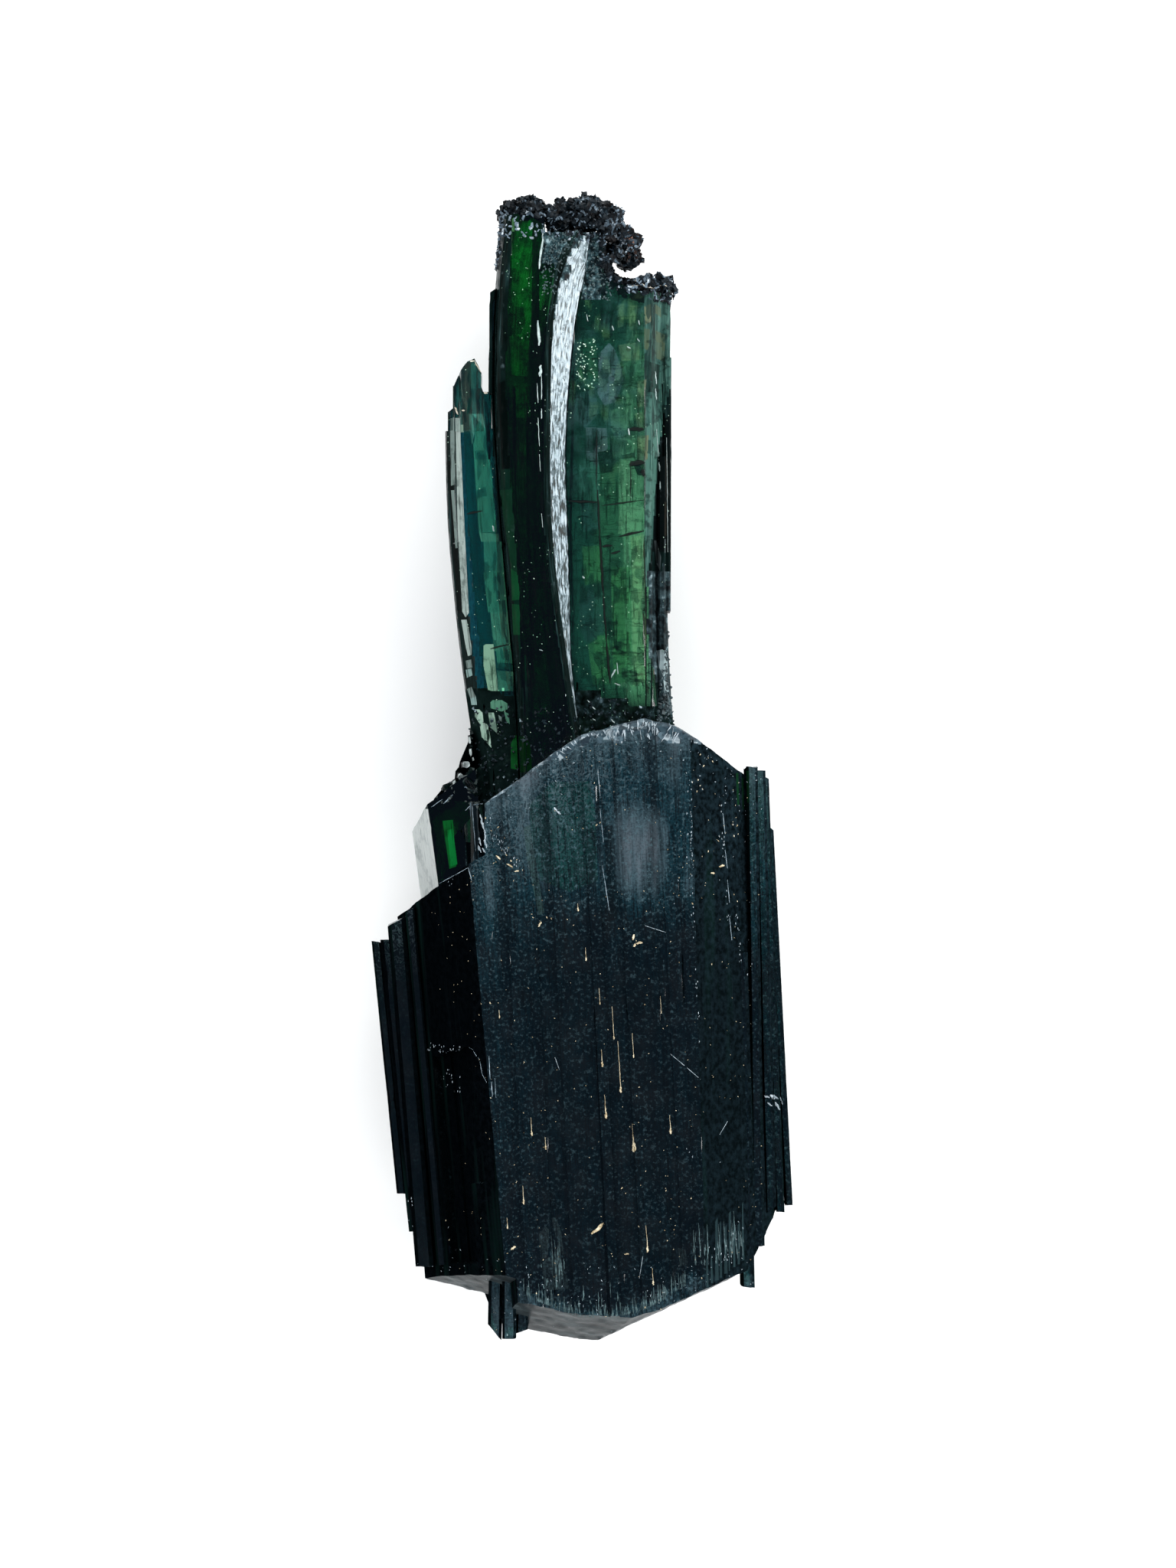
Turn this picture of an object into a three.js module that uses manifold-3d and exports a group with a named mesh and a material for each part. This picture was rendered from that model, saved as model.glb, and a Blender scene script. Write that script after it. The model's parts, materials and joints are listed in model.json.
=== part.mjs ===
// A vivianite specimen: parallel-grown, doubly terminated crystals, capped at one end by a dark spongy crust.
// Millimetres. The growth axis runs along +Y, and the specimen lies on its back face, with +Z up.
import * as THREE from "three";
import { mergeVertices } from "three/addons/utils/BufferGeometryUtils.js";
import Module from "manifold-3d";

const wasm = await Module();
wasm.setup();

// Driving dimensions
const thickness = 20; // of the large lower crystal, from its back face to its front face
const waist = 9.4; // height of its widest part, where the front and back side faces meet
const bladeBack = 5; // height of the tall blades' back faces over the resting face
const bladeFront = 14.4; // height of the highest blade's front face
const bladeTop = 98.6; // where the highest blade is broken off, along the axis
const broadTop = 92; // where the broad blade beside it is broken off
const spearTop = 79.9; // where the spear's flat faces end, under its ragged tip
const endSlant = 0.09; // shift of the end faces along the axis per mm of depth, as the lattice is oblique
const crustGap = 0.3; // between the crust and the crystals under it
const far = 300; // side of a block that is larger than the specimen

// Turns a three.js geometry into a solid that can be joined and cut.
function solidOf(geometry) {
  const bare = geometry.index ? geometry.toNonIndexed() : geometry.clone();
  bare.deleteAttribute("normal");
  bare.deleteAttribute("uv");
  const merged = mergeVertices(bare, 1e-4);
  return new wasm.Manifold(
    new wasm.Mesh({
      numProp: 3,
      vertProperties: new Float32Array(merged.attributes.position.array),
      triVerts: new Uint32Array(merged.index.array),
    }),
  );
}

// Turns a solid back into a geometry.
function geometryOf(solid) {
  const mesh = solid.getMesh();
  const points = new Float32Array(mesh.numVert * 3);
  for (let i = 0; i < mesh.numVert; i++) {
    points.set(mesh.vertProperties.subarray(i * mesh.numProp, i * mesh.numProp + 3), i * 3);
  }
  const geometry = new THREE.BufferGeometry();
  geometry.setAttribute("position", new THREE.BufferAttribute(points, 3));
  geometry.setIndex(new THREE.BufferAttribute(mesh.triVerts, 1));
  geometry.computeVertexNormals();
  return geometry;
}

function joined(solids) {
  return solids.reduce((whole, piece) => whole.add(piece));
}

// Everything beyond the plane through three points, on the side away from the point inside.
function beyond([a, b, c], inside) {
  const [pa, pb, pc, within] = [a, b, c, inside].map((p) => new THREE.Vector3(...p));
  const plane = new THREE.Plane().setFromCoplanarPoints(pa, pb, pc);
  if (plane.distanceToPoint(within) > 0) plane.negate();
  const block = new THREE.BoxGeometry(far, far, far);
  block.translate(0, 0, far / 2);
  const turn = new THREE.Quaternion().setFromUnitVectors(new THREE.Vector3(0, 0, 1), plane.normal);
  block.applyQuaternion(turn);
  block.translate(...a);
  return solidOf(block);
}

// A crystal with flat faces: a block cut back to each of its planes in turn.
function facetedCrystal(inside, planes) {
  const block = new THREE.BoxGeometry(60, 120, 60);
  block.translate(...inside);
  return planes.reduce((crystal, plane) => crystal.subtract(beyond(plane, inside)), solidOf(block));
}

// The planes of a prism: its section, given at two stations along the axis, with one plane for each side.
function prismSides(section, low, high) {
  return section.map(([x, z, shift = 0], i) => {
    const [nextX, nextZ] = section[(i + 1) % section.length];
    return [[x, high, z], [nextX, high, nextZ], [x + shift, low, z]];
  });
}

// An end face: a line across the front, slanting back along the axis with depth.
function endFace([x1, y1], [x2, y2], z = thickness) {
  return [[x1, y1, z], [x2, y2, z], [x1, y1 - endSlant * z, 0]];
}

// A curve through a few [along the axis, across it] points, read at any place along the axis.
function across(points) {
  const places = points.map(([y, x]) => new THREE.Vector3(x, y, 0));
  const curve = new THREE.CatmullRomCurve3(places, false, "centripetal");
  const samples = curve.getPoints(120);
  return (y) => {
    const i = Math.min(Math.max(samples.findIndex((p) => p.y >= y), 1), samples.length - 1);
    const [p, q] = [samples[i - 1], samples[i]];
    return THREE.MathUtils.lerp(p.x, q.x, (y - p.y) / (q.y - p.y));
  };
}

// A bent blade: a section of [share of the width, height] points, swept between its left and right edges.
function blade({ section, left, right, from, to, steps }) {
  const shape = new THREE.Shape(section.map(([share, z]) => new THREE.Vector2(share, z)));
  const geometry = new THREE.ExtrudeGeometry(shape, { depth: to - from, steps, bevelEnabled: false });
  geometry.rotateX(Math.PI / 2);
  geometry.translate(0, to, 0);
  const place = geometry.attributes.position;
  for (let i = 0; i < place.count; i++) {
    const y = place.getY(i);
    place.setX(i, THREE.MathUtils.lerp(left(y), right(y), place.getX(i)));
  }
  return solidOf(geometry);
}

// A narrow upright column of parallel growth, with a slanted top and foot.
function column({ x, width, front, depth, foot, head, headSlope = 0, footSlope = 0, lean = 0 }) {
  const middle = (foot + head) / 2;
  const shiftAt = (y) => lean * (y - head);
  const [l, r] = [x - width / 2, x + width / 2];
  const bevel = Math.min(width, depth) * 0.22;
  const section = [
    [l, front - bevel], [l + bevel, front], [r - bevel, front], [r, front - bevel],
    [r, front - depth + bevel], [r - bevel, front - depth],
    [l + bevel, front - depth], [l, front - depth + bevel],
  ].map(([px, pz]) => [px, pz, shiftAt(foot)]);
  const headLeft = head - headSlope * width;
  return facetedCrystal([x + shiftAt(middle), middle, front - depth / 2], [
    ...prismSides(section, foot, head),
    [[l, headLeft, front], [r, head, front], [l, headLeft - 0.1, front - depth]],
    [[l, foot, front], [r, foot + footSlope * width, front], [l, foot - 0.1, front - depth]],
  ]);
}

// The large crystal in front, with a gabled end at either tip.
function mainCrystal() {
  const sides = [
    [-8.3, thickness, 2.7], [1.75, thickness + 0.3, 1.2], [9.7, thickness, 1.0], [12.8, 16.3, 1.3],
    [15.4, 12.6, 1.5], [16.1, waist, 1.5], [11.6, 0, 1.0], [-6.5, 0, 2.0], [-11.5, 7, 2.6],
  ];
  const body = facetedCrystal([3, 27, 9], [...prismSides(sides, 7, 42), ...mainEnds()]);
  return joined([body, ...frontStrips()]);
}

// The end faces of the large crystal: an overhanging upper end and a folded lower one.
function mainEnds() {
  return [
    endFace([-8.4, 47.1], [-0.2, 53.0]),
    endFace([-0.2, 53.0], [5.4, 54.5]),
    endFace([5.4, 54.5], [8.1, 53.8]),
    endFace([8.1, 53.8], [14.1, 50.2]),
    [[1, 53.2, 20.7], [8.4, 53.7, 20.2], [5.4, 54.6, 19.0]],
    [[14.0, 5.6, 16], [17.4, 11.8, 10], [13.4, 6.2, 2]],
    ...lowerEnd([[-5.3, 3.85, 2.9], [0, 2.75, 2.8], [4.2, 2.5, 2.1], [6.7, 3.2, 0.9], [13.8, 6.5, 0.9]]),
  ];
}

// A slanted facet under each stretch of the lower edge, then one that runs back in beneath it.
// Each point of the edge says how far the facet to its right reaches past it.
function lowerEnd(edge) {
  const fold = 11.5; // the height at which the facets turn back in
  return edge.slice(1).flatMap(([x2, y2], i) => {
    const [x1, y1, reach] = edge[i];
    return [
      [[x1, y1, thickness], [x2, y2, thickness], [x1, y1 - reach, fold]],
      [[x1, y1 - reach, fold], [x2, y2 - reach, fold], [x1, y1 + 2, 0]],
    ];
  });
}

// Shallow full-length steps on the front face.
function frontStrips() {
  const set = [
    { from: -6.6, to: -4.1, rise: 0.28 },
    { from: -2.6, to: 0.5, rise: 0.42 },
    { from: 0.5, to: 1.5, rise: 0.6 },
    { from: 3.3, to: 6.2, rise: 0.42 },
    { from: 7.0, to: 8.3, rise: 0.2 },
  ];
  return set.map(({ from, to, rise }) => {
    const front = thickness + rise;
    const sides = [[from, front, 1.8], [to, front, 1.6], [to, 15, 1.6], [from, 15, 1.8]];
    return facetedCrystal([(from + to) / 2 + 0.5, 27, 18], [...prismSides(sides, 7, 42), ...mainEnds()]);
  });
}

// The crystal on the left, whose black side slopes away from the front face.
function leftCrystal() {
  const sides = [
    [-9.6, thickness, 3.4], [0, thickness, 2], [0, 0, 2], [-10.8, 0, 2.2], [-15.0, 4.8, 2.5],
    [-16.5, waist, 2.5], [-13.2, 15.3, 3.0],
  ];
  return facetedCrystal([-6, 24, 9], [
    ...prismSides(sides, 7, 40),
    [[-9.8, 41.8, thickness], [-17.1, 36.6, 10], [-9.8, 39.8, 4]],
    [[-13.8, 6.0, 12.2], [-8.0, 6.2, 18.4], [-8.4, 3.9, 11]],
    [[-13.2, 5.1, 9], [-8.4, 3.9, 10.6], [-10, 6.8, 0]],
  ]);
}

// The ragged ledge in the black side, under which the side is set back.
function ledgeCuts() {
  const sideTurn = THREE.MathUtils.degToRad(-53.5);
  const set = [
    { along: -1.6, width: 2.6, foot: 7, head: 25.6, sink: 0.75 },
    { along: 0.7, width: 2.2, foot: 14, head: 25.9, sink: 0.55 },
    { along: 2.1, width: 1.0, foot: 21.8, head: 24.9, sink: 0.4 },
    { along: -3.6, width: 1.6, foot: 7, head: 25.2, sink: 0.5 },
  ];
  return set.map(({ along, width, foot, head, sink }) => {
    const cut = new THREE.BoxGeometry(width, head - foot, 3);
    cut.translate(along, 0, 1.5 - sink);
    cut.rotateY(sideTurn);
    cut.rotateZ(THREE.MathUtils.degToRad(5.2));
    cut.translate(-10.1 + (24 - (head + foot) / 2) * 0.094, (head + foot) / 2, 16.9);
    return solidOf(cut);
  });
}

// Narrow columns that stand proud along the sides and reach past the ends of the large crystals.
function columns() {
  const set = [
    // far left, in steps
    { x: -18.1, width: 0.85, front: 10.6, depth: 4.6, foot: 12.6, head: 34.7, lean: -0.1, headSlope: -0.2 },
    { x: -17.0, width: 1.45, front: 11.7, depth: 6, foot: 9.4, head: 35.0, lean: -0.098 },
    { x: -16.3, width: 1.6, front: 12.7, depth: 6, foot: 6.4, head: 37.1, headSlope: 0.5, lean: -0.082 },
    { x: -15.1, width: 0.8, front: 13.2, depth: 6, foot: 6.6, head: 37.9, headSlope: 0.5, lean: -0.09 },
    // on the shoulder between the two large crystals
    { x: -9.15, width: 1.1, front: 17.6, depth: 8, foot: 36, head: 47.0, headSlope: -0.1, lean: -0.02 },
    // far right, in steps
    { x: 14.9, width: 1.05, front: 14.5, depth: 8, foot: 8.3, head: 50.3, lean: -0.014, headSlope: 0.1 },
    { x: 15.65, width: 0.95, front: 13.2, depth: 6, foot: 10.1, head: 49.9, lean: -0.025, footSlope: 0.9 },
    { x: 16.1, width: 0.7, front: 12.1, depth: 5.6, foot: 11.1, head: 49.2, lean: -0.036, headSlope: -0.5 },
    { x: 16.6, width: 0.65, front: 10.9, depth: 4.4, foot: 11.6, head: 44.6, lean: -0.051, headSlope: -0.9 },
    { x: 13.9, width: 1.2, front: 15.2, depth: 5, foot: 5.0, head: 34, footSlope: -0.15, lean: -0.022 },
    // under the lower end, on the left
    { x: -6.3, width: 1.15, front: 17.6, depth: 5, foot: 0.5, head: 14, footSlope: 0 },
    { x: -7.35, width: 1.15, front: 16.2, depth: 4.6, foot: 1.4, head: 12, footSlope: -1.3, lean: 0.02 },
    { x: -5.2, width: 1.0, front: 15.9, depth: 3.8, foot: 0.9, head: 9, footSlope: 0.3 },
  ];
  return set.map(column);
}

// The smaller crystal behind the left shoulder, with its steep pale side.
function rearCrystal() {
  const sides = [
    [-13.2, 12.6, 0.8], [-8, 13.0], [-6, 9], [-6, 3.6], [-13.0, 3.2, 0.9], [-14.9, 6.2, 1.0],
    [-15.0, 8.0, 1.0],
  ];
  return facetedCrystal([-10.5, 40, 9], [
    ...prismSides(sides, 37, 44.5),
    [[-13.6, 47.0, 12.6], [-9.8, 49.6, 12.6], [-12, 46.6, 5]],
    [[-15.0, 44.6, 8], [-13.6, 47.0, 12.6], [-14.5, 44.3, 4]],
    [[-16, 30, 9], [-6, 30, 9], [-8, 30, 14]],
  ]);
}

// The edges of the tall blades, as [along the axis, across it] points.
const darkLeft = across([
  [38, -5], [50, -5.6], [57, -5.9], [65, -6.6], [75, -7.4], [83, -7.8], [91.5, -7.6], [96, -7.3], [101, -6.8],
]);
const darkRight = across([
  [38, 2], [50, 0.2], [56, -0.7], [60, -1.3], [66, -2.1], [72, -2.65], [84, -2.7], [89, -2.5], [92, -2.1],
  [94.5, -1.5], [97, -0.3], [101, 1.2],
]);
const stepRight = across([
  [38, 2.1], [50, 0.4], [56, -0.55], [60, -0.95], [66, -1.05], [72, -1.25], [78, -1.4], [84, -1.05],
  [89, -0.5], [93, 0.2], [97, 0.8], [101, 1.6],
]);
const broadRight = across([[38, 8.4], [54, 8.1], [60, 7.7], [68, 7.6], [78, 7.95], [84, 7.8], [92, 7.9]]);
const spearLeft = across([
  [38, -8.4], [50, -9.3], [54, -9.85], [60, -10.7], [66, -11.35], [72, -11.85], [80, -12.05], [84, -12.0],
]);

// The dark blade, the highest of the three tall ones, broken off in a step at the top.
function darkBlade(spare = 0) {
  const whole = blade({
    section: [
      [0, 11.6 + spare], [0.07, 13.1 + spare], [0.28, bladeFront + spare], [0.7, bladeFront - 0.1 + spare],
      [1, bladeFront - 0.6 + spare], [1, 7 - spare], [0.8, bladeBack - spare], [0.2, bladeBack + 0.3 - spare],
      [0, 7 - spare],
    ],
    left: (y) => darkLeft(y) - spare,
    right: (y) => darkRight(y) + spare,
    from: 40, to: bladeTop + spare, steps: 20,
  });
  const step = new THREE.BoxGeometry(10, 10, 20);
  step.rotateZ(THREE.MathUtils.degToRad(6));
  step.translate(1.3 + spare, 102.4 + spare, 10);
  return whole.subtract(solidOf(step));
}

// The slanted face that steps down from the dark blade to the broad one.
function stepFace(spare = 0) {
  return blade({
    section: [
      [0, bladeFront - 0.62 + 2 * spare], [1, 12.1 + 2 * spare], [1, 8 - spare], [0, 8 - spare],
    ],
    left: (y) => darkRight(y) - 0.5,
    right: (y) => Math.max(stepRight(y), darkRight(y) + 0.05) + spare,
    from: 44, to: 96.8 + spare, steps: 20,
  });
}

// The broad blade, which ends in a flight of steps.
function broadBlade(spare = 0) {
  const body = blade({
    section: [
      [0, 12.0 + spare], [0.4, 12.3 + spare], [0.66, 12.0 + spare], [0.86, 11.2 + spare], [1, 9.0],
      [0.97, 7.2], [0.88, bladeBack + 0.5 - spare], [0.1, bladeBack + 0.6 - spare], [0, 7],
    ],
    left: (y) => darkRight(y) - 1.2,
    right: (y) => broadRight(y) + spare,
    from: 40, to: broadTop + spare, steps: 18,
  });
  const steps = [
    { x: 0.2, width: 3.6, front: 12.1, depth: 6.0, foot: 86, head: 97.2 },
    { x: 2.6, width: 1.8, front: 12.1, depth: 6.2, foot: 86, head: broadTop + 1.0, headSlope: -0.4 },
    { x: 4.1, width: 1.6, front: 11.9, depth: 5.8, foot: 86, head: broadTop + 0.5 },
    { x: 7.15, width: 1.3, front: 10.0, depth: 4, foot: 84, head: broadTop + 0.3, headSlope: 0.2 },
  ];
  const roomy = steps.map((step) => ({
    ...step,
    width: step.width + 2 * spare,
    front: step.front + spare,
    depth: step.depth + 2 * spare,
    head: step.head + spare,
  }));
  return joined([body, ...roomy.map(column)]);
}

// Ribs that stand along the blades' edges, where the sides grew in steps.
function bladeRibs() {
  const set = [
    { x: -7.6, width: 0.9, front: 12.9, depth: 5.6, foot: 60, head: 92.2, lean: -0.018, headSlope: 0.5 },
    { x: -5.75, width: 0.7, front: 14.5, depth: 3, foot: 44, head: 96.6, lean: -0.016, headSlope: 0.5 },
    { x: 7.55, width: 0.75, front: 10.2, depth: 3.4, foot: 64, head: 86.4, lean: 0.004 },
    { x: 7.1, width: 0.7, front: 10.9, depth: 3.6, foot: 50, head: 77.6, lean: 0.004 },
    { x: 5.9, width: 0.6, front: 12.0, depth: 3.6, foot: 52, head: 84.2 },
    // on their backs
    { x: 4.6, width: 1.6, front: 7, depth: 2.3, foot: 46, head: 88 },
    { x: -1.2, width: 1.2, front: 7, depth: 2.7, foot: 50, head: 93, lean: 0.01 },
    { x: -5.6, width: 1.5, front: 7, depth: 2.6, foot: 46, head: 84, lean: -0.02 },
  ];
  return set.map(column);
}

// The spear at the far left of the tall blades, with a narrow outer facet and two broader front ones.
function spear() {
  const body = blade({
    section: [
      [0, 9.4], [0.03, 10.6], [0.17, 11.4], [0.42, 13.0], [0.75, 13.3], [1, 12.6],
      [1, 7], [0.7, bladeBack + 0.6], [0.2, bladeBack + 1.2], [0, 7.6],
    ],
    left: spearLeft,
    right: (y) => darkLeft(y) + 0.9,
    from: 42, to: spearTop, steps: 14,
  });
  const tip = [
    { x: -11.5, width: 0.6, front: 10.3, depth: 3.6, foot: 72, head: 81.9, headSlope: 0.6 },
    { x: -10.95, width: 0.75, front: 11.3, depth: 4.4, foot: 70, head: 84.9, headSlope: 0.9 },
    { x: -10.2, width: 0.8, front: 12.4, depth: 4.6, foot: 70, head: 85.9, headSlope: 0.8 },
    { x: -9.4, width: 0.9, front: 12.3, depth: 4.6, foot: 70, head: 86.4, headSlope: 0.1 },
    { x: -8.5, width: 1.1, front: 12.0, depth: 4.4, foot: 70, head: 83.5, headSlope: -0.2 },
  ];
  return joined([body, ...tip.map(column)]);
}

// Small stray crystals in the notch at the left, where the spear meets the crystal behind.
function notchCrystals() {
  const set = [
    [-9.75, 52.7, 11.0, 0.8, 1.9, 14], [-10.2, 51.2, 10.6, 0.9, 1.9, -24], [-10.5, 50.2, 11.2, 1.2, 1.8, 30],
    [-9.9, 49.4, 12.4, 0.9, 1.6, -12], [-11.5, 48.8, 11.4, 1.1, 1.7, -38], [-12.1, 48.2, 10.4, 0.7, 1.3, 20],
    [-9.6, 48.5, 13.2, 0.8, 1.8, 42],
  ];
  return set.map(([x, y, z, wide, long, turn]) => {
    const crystal = new THREE.CylinderGeometry(wide * 0.3, wide * 0.55, long, 6);
    crystal.rotateZ(THREE.MathUtils.degToRad(turn));
    crystal.rotateX(THREE.MathUtils.degToRad(turn * 0.7));
    crystal.translate(x, y, z);
    return solidOf(crystal);
  });
}

// A smooth wander between -1 and 1 over space, the same on every run.
function wander(x, y, z) {
  const waves = [2.1 * x + 1.7 * z + 0.4, 2.6 * y - 1.3 * x + 1.1, 3.1 * z + 1.9 * y + 2.3];
  return waves.reduce((sum, wave) => sum + Math.sin(wave), 0) / waves.length;
}

// One lump of the crust: a faceted ball with an uneven surface.
function lump([x, y, z, size]) {
  const geometry = new THREE.IcosahedronGeometry(size, size > 0.9 ? 1 : 0);
  const place = geometry.attributes.position;
  const point = new THREE.Vector3();
  const middle = new THREE.Vector3(x, y, z);
  for (let i = 0; i < place.count; i++) {
    point.fromBufferAttribute(place, i);
    const swell = 1 + 0.3 * wander(point.x * 2.2 + x * 3, point.y * 2.2 + y * 3, point.z * 2.2 + z * 3);
    point.multiplyScalar(swell).add(middle);
    place.setXYZ(i, point.x, point.y, point.z);
  }
  return solidOf(geometry);
}

// The crust over the broken upper end: lumps grown into each other, hollowed to fit over the crystals.
function crustSolid() {
  // the crest of the crust, seen from above
  const crest = [
    [-6.3, 99.3], [-5.6, 100.0], [-4.6, 99.8], [-3.6, 99.1], [-2.6, 98.9], [-1.5, 99.4], [-0.6, 99.6],
    [0.6, 99.6], [1.7, 99.4], [2.6, 98.9], [2.3, 97.8], [2.6, 96.8], [3.7, 97.3], [4.7, 96.7], [4.0, 95.7],
    [2.9, 95.6], [2.3, 94.6], [3.2, 93.8], [4.4, 93.5], [5.4, 93.1], [6.5, 92.9], [7.2, 93.0],
  ];
  const places = crest.map(([x, y]) => new THREE.Vector3(x, y, 10));
  const path = new THREE.CatmullRomCurve3(places, false, "centripetal");
  const big = crest.map(([x, y], i) => {
    const size = y > 93.7 ? 1.0 + 0.2 * Math.sin(i * 3.7) : 0.8;
    return [x, y - 0.3, 9.8 + 2.2 * Math.sin(i * 2.1), size];
  });
  const backRow = crest.filter((point, i) => i % 2 === 0 || i > 16);
  const fill = backRow.map(([x, y], i) => [x + 0.2, y - 0.45, 9.4 - 2 * Math.sin(i * 2.1), 1.05]);
  const bed = Array.from({ length: 9 }, (_, i) => {
    return [i * 0.85 - 4.4, bladeTop - 0.1 - i * 0.04, 10 + (i % 2) * 1.6, 1.05];
  });
  const small = path.getSpacedPoints(17).map((p, i) => [
    p.x + 0.35 * Math.sin(i * 2.9),
    p.y + 0.35 * Math.sin(i * 1.9) + 0.1,
    10.6 + 2.6 * Math.sin(i * 1.3),
    0.55 + 0.14 * Math.sin(i * 3.3),
  ]);
  const mass = joined([...big, ...fill, ...bed, ...small].map(lump));
  const whole = mass.subtract(joined([darkBlade(crustGap), broadBlade(crustGap), stepFace(crustGap)]));
  return whole.decompose().sort((a, b) => b.volume() - a.volume())[0];
}

// Closes any hollow left between crystals that have grown together.
function withoutHollows(solid) {
  const around = solidOf(new THREE.BoxGeometry(far, far, far)).subtract(solid).decompose();
  const hollows = around.sort((a, b) => b.volume() - a.volume()).slice(1);
  return joined([solid, ...hollows]);
}

function crystalsSolid() {
  const large = joined([mainCrystal(), leftCrystal(), rearCrystal()]);
  const stepped = ledgeCuts().reduce((whole, cut) => whole.subtract(cut), large);
  const tall = joined([darkBlade(), stepFace(), broadBlade(), spear(), ...bladeRibs()]);
  return withoutHollows(joined([stepped, tall, ...columns(), ...notchCrystals()]));
}

const vivianite = new THREE.MeshStandardMaterial({ color: 0x16342f, roughness: 0.25, metalness: 0 });
const blackCrust = new THREE.MeshStandardMaterial({ color: 0x23252b, roughness: 0.85, metalness: 0 });

const crystals = new THREE.Mesh(geometryOf(crystalsSolid()), vivianite);
crystals.name = "vivianite_crystals";

const crust = new THREE.Mesh(geometryOf(crustSolid()), blackCrust);
crust.name = "matrix_crust";

const specimen = new THREE.Group();
specimen.add(crystals, crust);

// The origin is under the middle of the specimen, on the face it lies on.
const bounds = new THREE.Box3().setFromObject(specimen);
const middle = bounds.getCenter(new THREE.Vector3());
specimen.position.set(-middle.x, -middle.y, -bounds.min.z);

export default specimen;
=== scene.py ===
# A vivianite specimen lying on its back face: a near-black crystal with tall green blades and a dark crust.
import json
import math
import random

import bmesh
import bpy
import numpy as np
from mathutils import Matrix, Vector, noise
from mathutils.bvhtree import BVHTree

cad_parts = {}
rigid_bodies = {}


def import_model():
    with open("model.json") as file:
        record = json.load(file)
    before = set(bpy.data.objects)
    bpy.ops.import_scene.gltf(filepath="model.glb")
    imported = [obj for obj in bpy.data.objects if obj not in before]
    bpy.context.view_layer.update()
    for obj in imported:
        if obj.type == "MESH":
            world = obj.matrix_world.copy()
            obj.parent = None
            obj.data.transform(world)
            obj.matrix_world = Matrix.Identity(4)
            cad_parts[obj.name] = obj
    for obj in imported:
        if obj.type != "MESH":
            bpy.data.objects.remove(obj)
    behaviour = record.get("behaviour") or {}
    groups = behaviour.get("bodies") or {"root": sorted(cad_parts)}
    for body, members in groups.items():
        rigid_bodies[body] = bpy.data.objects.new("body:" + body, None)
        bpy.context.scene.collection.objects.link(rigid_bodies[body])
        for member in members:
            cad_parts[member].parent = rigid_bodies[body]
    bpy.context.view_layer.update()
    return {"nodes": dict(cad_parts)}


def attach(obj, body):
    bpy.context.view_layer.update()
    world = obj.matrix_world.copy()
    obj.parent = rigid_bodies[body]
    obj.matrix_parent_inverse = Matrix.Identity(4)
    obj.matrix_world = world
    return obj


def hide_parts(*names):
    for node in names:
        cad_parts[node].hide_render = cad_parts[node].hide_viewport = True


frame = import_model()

scene = bpy.context.scene
cadCrystals = frame["nodes"]["vivianite_crystals"]
cadCrust = frame["nodes"]["matrix_crust"]

# The specimen's own millimetres: where the growth axis and the back face give round numbers.
shift = Vector((0.0355, 50.2654, 0.0))


def at(x, y, z):
    return (Vector((x, y, z)) - shift) / 1000


def linear(hexColour, alpha=1.0):
    channels = [int(hexColour[i:i + 2], 16) / 255 for i in (1, 3, 5)]
    return tuple(c / 12.92 if c <= 0.04045 else ((c + 0.055) / 1.055) ** 2.4 for c in channels) + (alpha,)


def addObject(name, data):
    item = bpy.data.objects.new(name, data)
    scene.collection.objects.link(item)
    return item


def addNode(tree, kind, inputs=None, ramp=None, **settings):
    node = tree.nodes.new(kind)
    for name, value in settings.items():
        setattr(node, name, value)
    for key, value in (inputs or {}).items():
        if isinstance(value, bpy.types.NodeSocket):
            tree.links.new(value, node.inputs[key])
        else:
            node.inputs[key].default_value = value
    if ramp:
        elements = node.color_ramp.elements
        while len(elements) < len(ramp):
            elements.new(0.5)
        for element, (position, colour) in zip(elements, ramp):
            element.position = position
            element.color = linear(colour) if isinstance(colour, str) else (colour, colour, colour, 1)
    return node


# Camera, floor and light

cameraSetup = {
    "height": 0.520,  # above the floor, m
    "lens": 132.7,
    "place": (0.563, 48.742),  # mm, over the middle of the picture
}
lightSetup = {
    "skyColour": "#7ea4cc", "skyStrength": 0.2,
    "floorColour": "#fafaf8", "floorHalf": 1.6,  # m
    "panelSize": (0.8, 0.34),  # wide and high, m
    "panelHeight": 0.36, "panelDistance": 0.62,
    "panels": {"left": (-1, 0, 4.6), "right": (1, 0, 7.6), "far": (0, 1, 6.0), "near": (0, -1, 4.6)},  # x, y, watts
}


def buildCamera():
    data = bpy.data.cameras.new("overheadCamera")
    data.lens = cameraSetup["lens"]
    data.sensor_width = 36
    data.clip_start = 0.01
    spot = at(*cameraSetup["place"], 0)
    scene.camera = addObject("overheadCamera", data)
    scene.camera.location = (spot.x, spot.y, cameraSetup["height"])


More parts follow.
